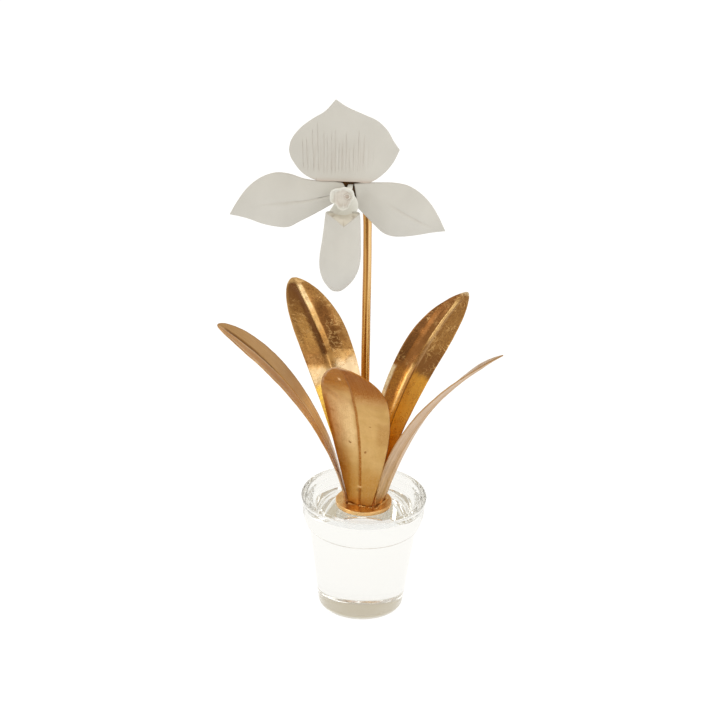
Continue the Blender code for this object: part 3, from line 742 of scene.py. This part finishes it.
def staminode_relief(across, up):
    """What stands up from the floor of the dish: its folds, and a small eye with its hole."""
    relief = 0.0
    for fold_across, fold_up, half_wide, half_high, rise_by in STAMINODE_FOLDS:
        away = ((across - fold_across) / half_wide) ** 2 + ((up - fold_up) / half_high) ** 2
        relief = relief + rise_by * np.exp(-away)
    away = np.hypot(across - STAMINODE_EYE[0], up - STAMINODE_EYE[1])
    return relief + 1.3 * bell(away - 1.4, 0.5) - 1.2 * bell(away, 0.7)


def staminode_rings():
    """A shallow dish with a ruffled outline and a raised rim."""
    angles, radii = np.array(STAMINODE_RADII, float).T
    turn = around(200)
    outline = np.interp(turn, np.radians(angles), radii, period=2 * pi)
    kernel = np.hanning(13) / np.hanning(13).sum()
    outline = np.convolve(np.concatenate([outline[-6:], outline, outline[:6]]), kernel, mode="valid")
    floor = [(share, -0.3 + 1.4 * (share / 0.8) ** 3) for share in np.linspace(0.8, 0.04, 20)]
    rings = []
    for share, lift in (*STAMINODE_RIM, *floor):
        across = share * outline * np.cos(turn)
        up = share * outline * np.sin(turn)
        ruffle = (0.3 * np.sin(3 * turn + 0.6) + 0.22 * np.sin(7 * turn)) * max(0.0, share - 0.6) / 0.4
        relief = staminode_relief(across, up) if (share, lift) in floor else 0.0
        depth = STAMINODE_DEPTH + lift + ruffle + relief
        rings.append(faced(across + STAMINODE_MIDDLE[0], up + STAMINODE_MIDDLE[1], depth))
    return rings


def neck_rings():
    """A flared plate behind the staminode, which comes forward to the back of the pouch."""
    turn = around(64)
    rings = []
    stations = smooth_line(NECK_STATIONS, 18)
    for share, (up, middle, half) in zip(np.linspace(0.0, 1.0, len(stations)), stations):
        depth = NECK_BACK + NECK_FORWARD * share**2 + NECK_THICKNESS / 2 * (1 + np.sin(turn))
        rings.append(faced(middle + half * np.cos(turn), up, depth))
    return rings


def stalk_rings():
    """The stalk that carries the column, rising behind the staminode to the sepal's foot."""
    turn = around(32)
    rings = []
    for share in np.linspace(0.0, 1.0, 10):
        across, up, depth = np.array(STALK_FOOT) * (1 - share) + np.array(STALK_TOP) * share
        rings.append(faced(across + STALK_RADIUS * np.cos(turn), up, depth + STALK_RADIUS * np.sin(turn)))
    return rings


def merged(name, meshes, voxel):
    """One skin over overlapping meshes, softened where they meet."""
    whole = bmesh.new()
    for mesh in meshes:
        whole.from_mesh(mesh)
    joined = bpy.data.meshes.new(name)
    whole.to_mesh(joined)
    whole.free()
    helper = add_object(name + "_helper", joined)
    remesh = helper.modifiers.new("remesh", "REMESH")
    remesh.mode = "VOXEL"
    remesh.voxel_size = voxel * MM
    helper.modifiers.new("soften", "SMOOTH").iterations = 2
    bpy.context.view_layer.update()
    graph = bpy.context.evaluated_depsgraph_get()
    skin = bpy.data.meshes.new_from_object(helper.evaluated_get(graph))
    bpy.data.objects.remove(helper, do_unlink=True)
    skin.name = name
    return skin


def mark_hollow_shade(mesh, passes, depth):
    """Marks each point's groove: how far it lies under the surface around it, as a share of a depth in mm."""
    count = len(mesh.vertices)
    places = np.empty(count * 3)
    normals = np.empty(count * 3)
    ends = np.empty(len(mesh.edges) * 2, np.int32)
    mesh.vertices.foreach_get("co", places)
    mesh.vertices.foreach_get("normal", normals)
    mesh.edges.foreach_get("vertices", ends)
    ends = ends.reshape(-1, 2)
    first, second = np.concatenate([ends, ends[:, ::-1]]).T
    places = places.reshape(-1, 3)
    level = places
    for _ in range(passes):
        total = [np.bincount(first, level[second, axis], count) for axis in range(3)]
        level = coordinates(*total) / np.bincount(first, minlength=count)[:, None]
    sunk = ((level - places) * normals.reshape(-1, 3)).sum(axis=1)
    # the groove mark gives painted shade in the hollows
    set_mark(mesh, "groove", clamped(sunk / (depth * MM)))


def mark_dish(mesh):
    """Marks the floor of the staminode's dish, and its eye more strongly, for painted shade a little pinker.
    """
    places = np.array([vert.co for vert in mesh.vertices]) / MM
    middle = np.array(STAMINODE_MIDDLE)
    away, eye = (
        np.linalg.norm(places - faced(*spot, STAMINODE_DEPTH + 0.4), axis=1)
        for spot in (middle, middle + STAMINODE_EYE)
    )
    set_mark(mesh, "edge", clamped(0.5 * clamped((5.6 - away) / 1.4) + 0.5 * bell(eye, 1.1)))


def make_column(finish):
    core_radii = (CORE_RADIUS, CORE_RADIUS - 0.4)
    parts = {
        "core": rod_rings(STAMINODE_MIDDLE, core_radii, CORE_BACK, CORE_FRONT),
        "pin": rod_rings((PIN_ACROSS, 0.3), (PIN_RADIUS, PIN_RADIUS), MOUNT_FRONT + 0.1, CORE_FRONT - 2),
        "dish": staminode_rings(),
        "neck": neck_rings(),
        "stalk": stalk_rings(),
    }
    mesh = merged("column_porcelain", [ring_mesh(name, rings) for name, rings in parts.items()], FINE_VOXEL)
    # painted shade in the column's folds and hollows, by the groove mark
    mark_hollow_shade(mesh, 30, 0.24)
    mark_dish(mesh)
    add_piece("column_porcelain", mesh, finish, "porcelain", "column")


def make_mount():
    edge = MOUNT_RADIUS - 0.5
    radii = (edge, MOUNT_RADIUS, MOUNT_RADIUS, MOUNT_RADIUS, edge)
    plate = rod_rings(MOUNT_MIDDLE, radii, MOUNT_FRONT - MOUNT_THICKNESS, MOUNT_FRONT, 96)
    centre = faced(*MOUNT_MIDDLE, MOUNT_FRONT - 0.3 - KNUCKLE_RADIUS)
    knuckle = lumpy_ball(centre, (KNUCKLE_RADIUS,) * 3)
    mesh = merged("mount_gilt", [ring_mesh("plate", plate), knuckle], COARSE_VOXEL)
    add_piece("mount_gilt", mesh, mount_painted_shade(), "gold_leaf", "bloom_mount")


def make_bloom():
    white = porcelain("porcelain", (0.585, 0.575, 0.54), (0.637, 0.626, 0.588))
    # Lighter copies of the porcelain, as painted light: the column's lifts the shade under the staminode, and
    # the throat's, a warmer tan, lifts the shade in the pouch's mouth
    bright = porcelain("porcelain_shade_lifted", (0.77, 0.775, 0.735), (0.83, 0.835, 0.795))
    tan = porcelain("porcelain_tan_shade_lifted", (0.74, 0.705, 0.625), (0.8, 0.765, 0.685))
    make_mount()
    make_sepal(white)
    for name, petal in PETALS.items():
        make_petal(name, petal, white)
    make_pouch(white)
    make_throat(tan)
    make_column(bright)


def feed(made, inputs):
    """Gives a node's inputs, named or numbered, their links, colours and numbers."""
    for key, value in inputs.items():
        socket = made.inputs[key]
        if isinstance(value, bpy.types.NodeSocket):
            made.id_data.links.new(value, socket)
        elif socket.type == "RGBA":
            socket.default_value = (*value, 1.0)
        else:
            socket.default_value = value


def new_material(name, values):
    """A material and its shader, whose own inputs hold the values that are the same all over."""
    made = bpy.data.materials.new(name)
    made.use_nodes = True
    shader = made.node_tree.nodes["Principled BSDF"]
    feed(shader, values)
    return made, shader


def node(kind, inputs, tree=None, **settings):
    """A shader node, in the tree that is given or else in the one that its first link comes from."""
    tree = tree or next(link.id_data for link in inputs.values() if isinstance(link, bpy.types.NodeSocket))
    made = tree.nodes.new("ShaderNode" + kind)
    for setting, value in settings.items():
        setattr(made, setting, value)
    feed(made, inputs)
    return made


def ramp(factor, stops):
    """A colour ramp through stops of (place, colour)."""
    made = node("ValToRGB", {"Fac": factor})
    elements = made.color_ramp.elements
    while len(elements) < len(stops):
        elements.new(0.5)
    for element, (place, color) in zip(elements, stops):
        element.position = place
        element.color = (*color, 1.0)
    return made.outputs["Color"]


def mixed(factor, first, second):
    """Two colours mixed by a factor."""
    return node("Mix", {0: factor, 6: first, 7: second}, data_type="RGBA").outputs[2]


def math(operation, first, second=0.0):
    return node("Math", {0: first, 1: second}, operation=operation).outputs[0]


def times(first, second):
    return math("MULTIPLY", first, second)


def plus(first, second):
    return math("ADD", first, second)


def texture(place, scale, detail=4.0, roughness=0.5, distortion=0.0):
    """Noise over a place, in features per metre for object coordinates."""
    inputs = {"Vector": place, "Scale": scale, "Detail": detail, "Roughness": roughness}
    return node("TexNoise", {**inputs, "Distortion": distortion}).outputs["Fac"]


def coordinate(tree, kind="Object"):
    return node("TexCoord", {}, tree).outputs[kind]


def part(vector, axis):
    return node("SeparateXYZ", {0: vector}).outputs[axis]


def mark(tree, name):
    return node("Attribute", {}, tree, attribute_name=name).outputs["Fac"]


def bump(shader, height, distance, strength):
    made = node("Bump", {"Strength": strength, "Distance": distance * MM, "Height": height})
    feed(shader, {"Normal": made.outputs["Normal"]})


def rise(value, start, end):
    """From 0 at the start to 1 at the end, smoothly. It falls instead where the end is below the start."""
    return node("MapRange", {0: value, 1: start, 2: end}, interpolation_type="SMOOTHSTEP").outputs[0]


def spread(value, start, end, low, high):
    """From low at the start to high at the end, evenly."""
    return node("MapRange", {0: value, 1: start, 2: end, 3: low, 4: high}).outputs[0]


def crystal():
    values = {"Base Color": (0.885, 0.885, 0.863), "Roughness": 0.0, "IOR": 1.54, "Transmission Weight": 1.0}
    made, shader = new_material("crystal", values)
    bump(shader, texture(coordinate(shader.id_data), 45.0, 1.0), 0.05, 0.3)
    return made


def porcelain(name, shade, light):
    """Matte bisque: clouded between two tones, with painted shade in its grooves and marked edges, and a fine
    grain.
    """
    made, shader = new_material(name, {"IOR": 1.45})
    tree = shader.id_data
    place = coordinate(tree)
    speck = texture(place, 900.0, 2.0)
    base = ramp(texture(place, 55.0, 3.0), ((0.3, shade), (0.7, light)))
    base = mixed(times(speck, 0.1), base, (0.53, 0.51, 0.46))
    # painted shade in grooves and hollows, where the groove mark is
    base = mixed(times(mark(tree, "groove"), 0.55), base, (0.4, 0.33, 0.27))
    # painted shade under the sepal's foot and on the staminode's dish, a little pinker, where the edge mark
    # is
    base = mixed(times(mark(tree, "edge"), 0.6), base, (0.5, 0.38, 0.31))
    feed(shader, {"Base Color": base, "Roughness": spread(texture(place, 120.0, 2.0), 0.0, 1.0, 0.55, 0.72)})
    bump(shader, plus(texture(place, 1500.0, 2.0), times(speck, 0.6)), 0.05, 0.35)
    return made


# Gilding: clean leaf, pale to amber; the aged leaf's light and dark; cream for painted highlights; painted
# midrib shade
HIGHLIGHT_CREAM = (1.0, 0.84, 0.58)
GOLD_PALE = (0.95, 0.62, 0.26)
GOLD_YELLOW = (0.8, 0.42, 0.075)
GOLD_AMBER = (0.6, 0.23, 0.025)
GOLD_TAN = (0.63, 0.385, 0.16)
GOLD_ROSE = (0.61, 0.42, 0.24)
AGED_LIGHT = (0.5, 0.265, 0.08)
AGED_DARK = (0.29, 0.13, 0.04)
BROWN = (0.4, 0.165, 0.045)
MIDRIB_SHADE = (0.1, 0.032, 0.007)
WORN_BRIGHT = ((0.86, 0.55, 0.24), (0.88, 0.56, 0.23))
# How far a patch's edge wanders, in the units of the mark that bounds it
WANDER_REACH = {"along": 0.05, "across": 0.14, "off_rib": 0.7, "reverse": 0.0}


# Patches stand for patina and nicks, and for painted highlights, reflections and shade
def patch(color, strength, **limits):
    """A patch of gilding. Each limit is a mark's two values to rise between, or four to rise and fall."""
    return color, strength, limits


def patch_mask(limits, wander):
    """The product of the limits of a patch, along uneven edges."""
    mask = None
    for name, values in limits.items():
        place = plus(mark(wander.id_data, name), times(wander, WANDER_REACH[name]))
        pairs = [values[:2], values[:1:-1]] if len(values) == 4 else [values]
        for start, end in pairs:
            share = rise(place, start, end)
            mask = share if mask is None else times(mask, share)
    return mask


def leaf_place(tree, across, along):
    """A place on a leaf, counted across it and along it, each with its own number of features."""
    places = {0: times(mark(tree, "off_rib"), across), 1: times(mark(tree, "along"), along)}
    return node("CombineXYZ", places).outputs[0]


def crease_lines(place, scale, width):
    """Thin wandering lines, where a noise crosses its middle value."""
    off = math("ABSOLUTE", math("SUBTRACT", texture(place, scale, 2.0, 0.55, 0.6), 0.5))
    return rise(off, width, 0.2 * width)


def gold(
    name, clean, deep, age=0.0, patches=(), creases=0.75, roughness=(0.26, 0.42), dull=0.45, streaks=None
):
    """Gold leaf over metal, mottled and creased by its age, which is a number or a patch's limits.

    The patches are laid in their order. The streaks, a colour and its strength, run along a leaf.
    """
    made, shader = new_material(name, {"Metallic": 1.0})
    tree = shader.id_data
    place = coordinate(tree)
    broad = texture(place, 70.0, 4.0, 0.6, 0.5)
    middle = texture(place, 300.0, 6.0, 0.68, 0.7)
    fine = texture(place, 1100.0, 4.0, 0.65, 0.3)
    wander = math("SUBTRACT", texture(place, 120.0, 4.0, 0.6), 0.5)
    mottled = mixed(rise(plus(times(middle, 0.3), times(fine, 0.7)), 0.34, 0.62), AGED_DARK, AGED_LIGHT)
    aged = age if isinstance(age, float) else patch_mask(age, wander)
    base = mixed(aged, mixed(rise(broad, 0.35, 0.75), clean, deep), mottled)
    lines = crease_lines(leaf_place(tree, 0.14, 38.0), 1.0, 0.03)
    lines = math("MAXIMUM", crease_lines(place, 110.0, 0.02), lines)
    shown = times(lines, rise(texture(place, 90.0, 3.0), 0.48, 0.62))
    wear_and_highlight = plus(times(times(shown, aged), creases), times(shown, 0.05))
    base = mixed(wear_and_highlight, base, WORN_BRIGHT[0])
    grainy = plus(times(rise(fine, 0.36, 0.62), 0.45), 0.68)
    # the patches: patina, and painted highlights, reflections and shade
    for color, strength, limits in patches:
        share = times(times(patch_mask(limits, wander), strength), grainy)
        base = mixed(math("MINIMUM", share, 1.0), base, color)
    base = mixed(times(times(rise(middle, 0.52, 0.36), dull), 0.5), base, BROWN)
    base = mixed(times(wear_and_highlight, 0.55), base, WORN_BRIGHT[1])
    if streaks:
        shown = rise(texture(leaf_place(tree, 1.6, 1.5), 1.0, 4.0, 0.6), 0.42, 0.62)
        base = mixed(times(shown, streaks[1]), base, streaks[0])
    feed(shader, {"Base Color": base, "Roughness": spread(middle, 0.35, 0.65, *roughness)})
    bump(shader, plus(plus(times(lines, 0.3), times(middle, 0.8)), times(fine, 0.3)), 0.09, 0.4)
    return made, shader, base


# Each leaf's patches, in the order in which they are laid: patina and nicks, and painted highlights,
# reflections and shade
FRONT_PATCHES = (
    # painted sheen over the left half
    patch((0.96, 0.71, 0.37), 0.8, across=(0.02, -0.2), along=(0.26, 0.4, 0.56, 0.72)),
    patch((0.48, 0.25, 0.075), 0.7, across=(0.5, 0.72), along=(0.33, 0.38, 0.46, 0.54)),
    patch((0.58, 0.28, 0.055), 0.8, along=(0.26, 0.12)),
    # painted reflection, dark brown over the upper part
    patch((0.5, 0.2, 0.016), 0.95, along=(0.66, 0.78)),
    # painted shade along the midrib's keel
    patch((0.38, 0.12, 0.007), 1.1, off_rib=(-0.8, 0.8), along=(0.58, 0.74)),
    patch((0.36, 0.12, 0.012), 0.9, off_rib=(-1.2, -0.4, 0.4, 1.2), along=(0.8, 0.68)),
    patch((0.28, 0.1, 0.02), 0.9, off_rib=(-7.2, -6.4, -5.4, -4.8), along=(0.35, 0.354, 0.358, 0.362)),
    patch((0.28, 0.1, 0.02), 0.9, off_rib=(2.4, 3, 3.8, 4.4), along=(0.305, 0.309, 0.313, 0.317)),
    patch((0.4, 0.17, 0.04), 0.8, off_rib=(6.4, 7.2, 7.8, 8.4), along=(0.46, 0.464, 0.47, 0.474)),
    patch(GOLD_PALE, 0.8, off_rib=(-2.6, -0.8, 0.2, 2), along=(0.09, 0.098, 0.1, 0.108)),
    patch((0.26, 0.09, 0.02), 0.6, off_rib=(-3, -1.2, 0.4, 2.2), along=(0.072, 0.08, 0.081, 0.088)),
    # painted shade along the midrib, higher up
    patch((0.34, 0.13, 0.03), 0.8, off_rib=(-0.9, -0.2, 0.2, 0.9), along=(0.62, 0.7, 0.86, 0.92)),
    patch((0.8, 0.58, 0.36), 0.8, across=(-0.88, -0.96), along=(0.66, 0.76)),
    patch((0.8, 0.58, 0.36), 0.7, along=(0.94, 0.97)),
    # painted highlight
    patch((1, 0.7, 0.36), 1, off_rib=(-6.2, -5.4, -4.6, -3.8), along=(0.805, 0.818, 0.828, 0.84)),
    patch((0.6, 0.28, 0.035), 0.9, across=(-0.82, -0.93), along=(0.7, 0.54)),
    # painted reflection of the left leaf, over the lower left half
    patch((0.5, 0.2, 0.018), 0.85, across=(-0.2, -0.7), along=(0.38, 0.2)),
)
RIGHT_PATCHES = (
    patch((0.45, 0.25, 0.1), 0.6, across=(-0.86, -0.94)),
    patch((0.45, 0.25, 0.1), 0.6, off_rib=(-1.2, -0.4, 0.4, 1.2)),
    patch((0.82, 0.47, 0.13), 0.9, off_rib=(2, 2.8, 4.2, 5.2), along=(0.66, 0.54)),
    patch((0.46, 0.27, 0.12), 0.8, off_rib=(-4.4, -3.6, -2.6, -1.8), along=(0.8, 0.6)),
    patch((0.72, 0.44, 0.16), 0.8, along=(0.24, 0.08)),
)
BACK_RIGHT_PATCHES = (
    patch((0.82, 0.41, 0.06), 0.8, off_rib=(-1, -2), along=(0.34, 0.44, 0.56, 0.6)),
    # painted reflection of the other gold leaves, amber over the lower part
    patch(GOLD_AMBER, 0.9, along=(0.4, 0.24)),
    patch((0.32, 0.12, 0.03), 0.85, off_rib=(3.6, 4.8), along=(0.34, 0.42)),
    # darker over the upper part: patina, and a painted reflection of the dark ceiling
    patch((0.155, 0.068, 0.023), 0.9, off_rib=(9, 11), along=(0.56, 0.62)),
    patch((0.35, 0.155, 0.05), 0.95, off_rib=(2.4, 3.4, 7, 10), along=(0.56, 0.62)),
    patch((0.25, 0.105, 0.03), 0.85, off_rib=(-1.5, -3), along=(0.55, 0.58, 0.66, 0.72)),
    patch((0.5, 0.24, 0.08), 0.7, across=(0.9, 0.98), along=(0.6, 0.66)),
    # painted highlight along the midrib, higher up
    patch((1, 0.68, 0.3), 1.2, off_rib=(-0.7, 0.1, 2.2, 3), along=(0.69, 0.75, 0.92, 0.96)),
    patch((0.6, 0.38, 0.2), 0.6, off_rib=(-2.4, -1.7, -1.3, -0.8), along=(0.57, 0.61, 0.93, 0.97)),
    # painted highlight along the midrib
    patch(GOLD_PALE, 1, off_rib=(-0.4, 0.4, 3.2, 4.4), along=(0.34, 0.42, 0.57, 0.61)),
    # painted shade beside the midrib's highlight
    patch((0.22, 0.08, 0.014), 0.8, off_rib=(-2, -1.3, -0.7, -0.1), along=(0.16, 0.34, 0.57, 0.61)),
    # painted highlights on the edge and at the tip
    patch(HIGHLIGHT_CREAM, 1, across=(0.74, 0.86), along=(0.38, 0.44, 0.55, 0.58)),
    patch(HIGHLIGHT_CREAM, 0.9, along=(0.965, 0.985)),
)
BACK_LEFT_PATCHES = (
    # painted reflection, yellow, over the lower part
    patch((1, 0.68, 0.13), 0.95, along=(0.48, 0.44)),
    patch((1, 0.74, 0.06), 0.9, along=(0.38, 0.26)),
    # painted highlight across the leaf where it bends
    patch((0.74, 0.57, 0.34), 0.9, along=(0.45, 0.49, 0.525, 0.55)),
    patch((0.81, 0.62, 0.39), 0.9, off_rib=(-1, -6), along=(0.45, 0.49, 0.54, 0.58)),
    # painted shade beside the midrib's highlight
    patch((0.3, 0.135, 0.038), 0.9, off_rib=(0.5, 2.5), along=(0.53, 0.56, 0.59, 0.62)),
    patch((0.62, 0.34, 0.11), 0.6, off_rib=(-3, -1.2, 1.2, 3), along=(0.45, 0.5, 0.58, 0.6)),
    patch((0.13, 0.05, 0.014), 0.95, off_rib=(-0.8, 0.2, 3.6, 5.6), along=(0.575, 0.61, 0.72, 0.78)),
    patch((0.2, 0.078, 0.023), 0.9, off_rib=(0.6, 1.4, 4.2, 6.4), along=(0.66, 0.72, 0.95, 0.98)),
    patch((0.24, 0.095, 0.028), 0.8, off_rib=(1.6, 2.6, 6, 8), along=(0.85, 0.88, 0.95, 0.98)),
    patch((0.3, 0.135, 0.04), 0.8, off_rib=(-8, -10), along=(0.62, 0.66, 0.8, 0.88)),
    patch((0.17, 0.07, 0.02), 1, off_rib=(-12, -9, -3.6, -2.6), along=(0.59, 0.63, 0.8, 0.88)),
    patch((0.7, 0.39, 0.12), 0.75, off_rib=(5.4, 7, 12, 14), along=(0.6, 0.66, 0.75, 0.8)),
    patch((0.26, 0.11, 0.032), 0.8, off_rib=(3.5, 5.5), along=(0.8, 0.88, 0.94, 0.97)),
    patch((0.62, 0.36, 0.13), 0.6, across=(0.82, 0.94), along=(0.6, 0.66)),
    patch((0.62, 0.36, 0.13), 0.6, across=(-0.72, -0.9), along=(0.6, 0.66)),
    # painted highlight along the midrib, higher up
    patch((0.48, 0.25, 0.075), 1.2, off_rib=(-3.6, -2.8, -1, -0.2), along=(0.56, 0.62, 0.7, 0.76)),
    patch((0.55, 0.34, 0.13), 1.2, off_rib=(-3.2, -2.4, 0.2, 0.8), along=(0.69, 0.74, 0.94, 0.965)),
    patch((0.92, 0.68, 0.37), 1.1, off_rib=(-2.8, -2, 0.6, 1.2), along=(0.79, 0.86, 0.945, 0.97)),
    patch((0.9, 0.6, 0.27), 0.9, along=(0.955, 0.975)),
    patch((0.76, 0.49, 0.25), 0.95, reverse=(0.6, 0.4)),
)
LEFT_PATCHES = (
    patch((0.92, 0.65, 0.36), 0.9, across=(0.06, -0.04), along=(0.56, 0.42)),
    patch((0.66, 0.39, 0.155), 0.9, across=(0.02, 0.1)),
    patch((0.78, 0.54, 0.29), 0.8, across=(0.06, 0.12, 0.2, 0.28)),
    patch((0.8, 0.56, 0.33), 0.8, across=(0.84, 0.92)),
    patch((0.6, 0.27, 0.055), 0.95, across=(0.24, 0.36, 0.7, 0.84)),
    patch((0.78, 0.44, 0.15), 0.8, across=(0.02, 0.1), along=(0.55, 0.38)),
    patch((1, 0.93, 0.8), 1, along=(0.36, 0.22)),
    patch((0.45, 0.22, 0.07), 0.8, across=(0.97, 0.99)),
    patch((0.4, 0.19, 0.06), 0.8, across=(-0.86, -0.95)),
    # painted shade in the midrib's groove
    patch(MIDRIB_SHADE, 0.9, off_rib=(-1.6, -0.8, 0.4, 1), along=(0.5, 0.66, 0.93, 0.97)),
    patch((0.28, 0.13, 0.045), 0.85, off_rib=(-2.4, -1.2, 1, 2.2), along=(0.7, 0.8, 0.95, 0.98)),
    patch((0.85, 0.43, 0.09), 0.9, off_rib=(-1.4, -0.4, 2, 3), along=(0.72, 0.64)),
)
# Each leaf's gilding: its clean and deeper gold, where it is aged, its patches of patina and painted light,
# and its streaks
LEAF_LOOKS = {
    "leaf_front": {
        "clean": (0.72, 0.465, 0.185), "deep": (0.6, 0.365, 0.12), "roughness": (0.36, 0.48), "dull": 0.3,
        "patches": FRONT_PATCHES, "streaks": ((0.6, 0.36, 0.13), 0.22),
    },
    "leaf_right": {
        "clean": GOLD_ROSE, "deep": (0.52, 0.35, 0.2), "roughness": (0.32, 0.46), "dull": 0.25,
        "patches": RIGHT_PATCHES, "streaks": ((0.42, 0.24, 0.1), 0.75),
    },
    # its aged upper part is dark patina, darkened further as a painted reflection of a dark ceiling
    "leaf_back_right": {
        "clean": GOLD_YELLOW, "deep": (0.62, 0.29, 0.05), "age": {"along": (0.55, 0.6)},
        "roughness": (0.24, 0.38), "patches": BACK_RIGHT_PATCHES,
    },
    # its aged upper part is dark patina, darkened further as a painted reflection of a dark ceiling
    "leaf_back_left": {
        "clean": (0.8, 0.5, 0.2), "deep": (0.62, 0.34, 0.11), "age": {"along": (0.585, 0.605)},
        "roughness": (0.24, 0.38), "patches": BACK_LEFT_PATCHES,
    },
    "leaf_left": {
        "clean": GOLD_TAN, "deep": (0.57, 0.325, 0.125), "roughness": (0.34, 0.48), "dull": 0.25,
        "patches": LEFT_PATCHES, "streaks": ((0.44, 0.25, 0.1), 0.6),
    },
}


def leaf_gold(name):
    return gold(name + "_gold", **LEAF_LOOKS[name])[0]


def rod_gold():
    """Gold with a painted reflection: dark down the rod's front and back, light at its right, more so higher
    up.
    """
    made, shader, base = gold("rod_gold", (0.75, 0.425, 0.095), (0.62, 0.31, 0.055), roughness=(0.2, 0.32))
    tree = shader.id_data
    across = spread(part(coordinate(tree, "Normal"), "X"), -1.0, 1.0, 0.0, 1.0)
    strength = spread(part(coordinate(tree), "Z"), 0.16, 0.225, 0.22, 0.95)
    feed(shader, {"Base Color": mixed(strength, base, ramp(across, ROD_PAINTED_REFLECTION))})
    return made


def weld_gold():
    return gold("weld_gold", (0.66, 0.38, 0.13), (0.46, 0.22, 0.07), roughness=(0.22, 0.36), dull=0.2)[0]


def mount_painted_shade():
    """Gilding darkened nearly to black: painted shade, so that the mount shows as shadow in the gaps behind
    the bloom.
    """
    return gold("mount_painted_shade", (0.1, 0.05, 0.02), (0.05, 0.025, 0.01), roughness=(0.5, 0.7), creases=0.0)[0]


def gilded_disc():
    """Copper-toned gold with a painted highlight in patches along the rim's left, and darker towards the
    right.
    """
    made, shader, base = gold("disc_gold", (0.96, 0.63, 0.29), (0.8, 0.48, 0.2), roughness=(0.24, 0.4))
    place = coordinate(shader.id_data)
    sideways = part(place, "X")
    flat = node("VectorMath", {0: place, 1: (1.0, 1.0, 0.0)}, operation="MULTIPLY").outputs[0]
    reach = node("VectorMath", {0: flat}, operation="LENGTH").outputs["Value"]
    rim = rise(reach, (DISC_RADIUS - 0.9) * MM, (DISC_RADIUS - 0.1) * MM)
    # painted highlight: patches of pale gold on the rim, towards the disc's left
    wear_and_highlight = times(rise(texture(place, 75.0, 3.0), 0.46, 0.6), rise(sideways, 0.009, -0.001))
    # darker towards the disc's right side
    base = mixed(times(rise(sideways, 0.006, 0.014), 0.8), base, (0.66, 0.34, 0.11))
    feed(shader, {"Base Color": mixed(times(times(rim, wear_and_highlight), 0.85), base, (1.0, 0.58, 0.22))})
    return made


def glowing_underside():
    """The disc's ungilded underside, pale cream with a faint glow: painted light, which shows through the
    crystal.
    """
    values = {"Roughness": 0.5, "Emission Color": (1.0, 0.93, 0.8), "Emission Strength": 0.16}
    made, shader = new_material("disc_underside", values)
    speck = texture(coordinate(shader.id_data), 500.0, 3.0)
    feed(shader, {"Base Color": ramp(speck, ((0.3, (0.9, 0.86, 0.77)), (0.7, (0.97, 0.94, 0.86))))})
    return made


def make_camera():
    tilt = Matrix.Rotation(radians(90 - CAMERA_ELEVATION), 4, "X")
    place = Vector((0.0, 0.0, CAMERA_TARGET_Z)) + tilt @ Vector((0.0, 0.0, CAMERA_DISTANCE))
    data = bpy.data.cameras.new("camera")
    data.sensor_width = SENSOR_WIDTH
    data.lens = SENSOR_WIDTH * PIXELS_PER_MM * CAMERA_DISTANCE / IMAGE_SIZE
    data.clip_end = 100.0
    data.shift_x = (IMAGE_SIZE / 2 - TARGET_PIXEL[0]) / IMAGE_SIZE
    data.shift_y = (TARGET_PIXEL[1] - IMAGE_SIZE / 2) / IMAGE_SIZE
    camera = add_object("camera", data)
    # The picture's top leans to the right, so the camera turns the other way
    roll = Matrix.Rotation(radians(CAMERA_ROLL), 4, "Z")
    camera.matrix_world = Matrix.Translation(place * MM) @ tilt @ roll
    bpy.context.scene.camera = camera


def make_floor():
    """A white sweep, lit evenly enough to show no edge or shadow. Its lengths are in metres."""
    shape = bmesh.new()
    bmesh.ops.create_circle(shape, cap_ends=True, segments=96, radius=FLOOR_RADIUS)
    bmesh.ops.translate(shape, verts=shape.verts, vec=(0.0, 0.0, -FLOOR_DROP))
    mesh = bpy.data.meshes.new("floor")
    shape.to_mesh(mesh)
    shape.free()
    values = {"Base Color": (0.22, 0.22, 0.22), "Roughness": 0.9, "Specular IOR Level": 0.0}
    glow = {"Emission Color": (1.0, 1.0, 0.995), "Emission Strength": 0.92}
    mesh.materials.append(new_material("floor_white", {**values, **glow})[0])
    floor = add_object("floor", mesh)


def add_softbox(name, place, size, brightness, through_glass):
    """A lamp turned to the object. Its lengths are in metres."""
    data = bpy.data.lights.new(name, "AREA")
    data.shape = "RECTANGLE"
    data.size, data.size_y = size
    data.energy = brightness * pi * size[0] * size[1]
    lamp = add_object(name, data)
    lamp.location = place
    lamp.visible_transmission = through_glass
    lamp.rotation_euler = (Vector(LIGHT_AIM) - Vector(place)).to_track_quat("-Z", "Y").to_euler()


def make_light():
    """A pale room, brightest low down, with softboxes on both sides, in front, on top and behind."""
    world = bpy.data.worlds.new("studio")
    world.use_nodes = True
    sky = world.node_tree.nodes["Background"]
    height = part(coordinate(world.node_tree, "Generated"), "Z")
    feed(sky, {"Color": ramp(height, ROOM_TONES), "Strength": 1.0})
    bpy.context.scene.world = world
    for side, softbox in SOFTBOXES.items():
        add_softbox("softbox_" + side, *softbox)


def set_view():
    scene = bpy.context.scene
    scene.view_settings.view_transform = "Standard"
    scene.cycles.max_bounces = 32
    scene.cycles.transmission_bounces = 32
    scene.cycles.glossy_bounces = 16


def main():
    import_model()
    make_camera()
    make_floor()
    make_light()
    set_view()
    make_pot()
    make_disc()
    make_rod()
    make_leaves()
    make_welds()
    make_bloom()


main()
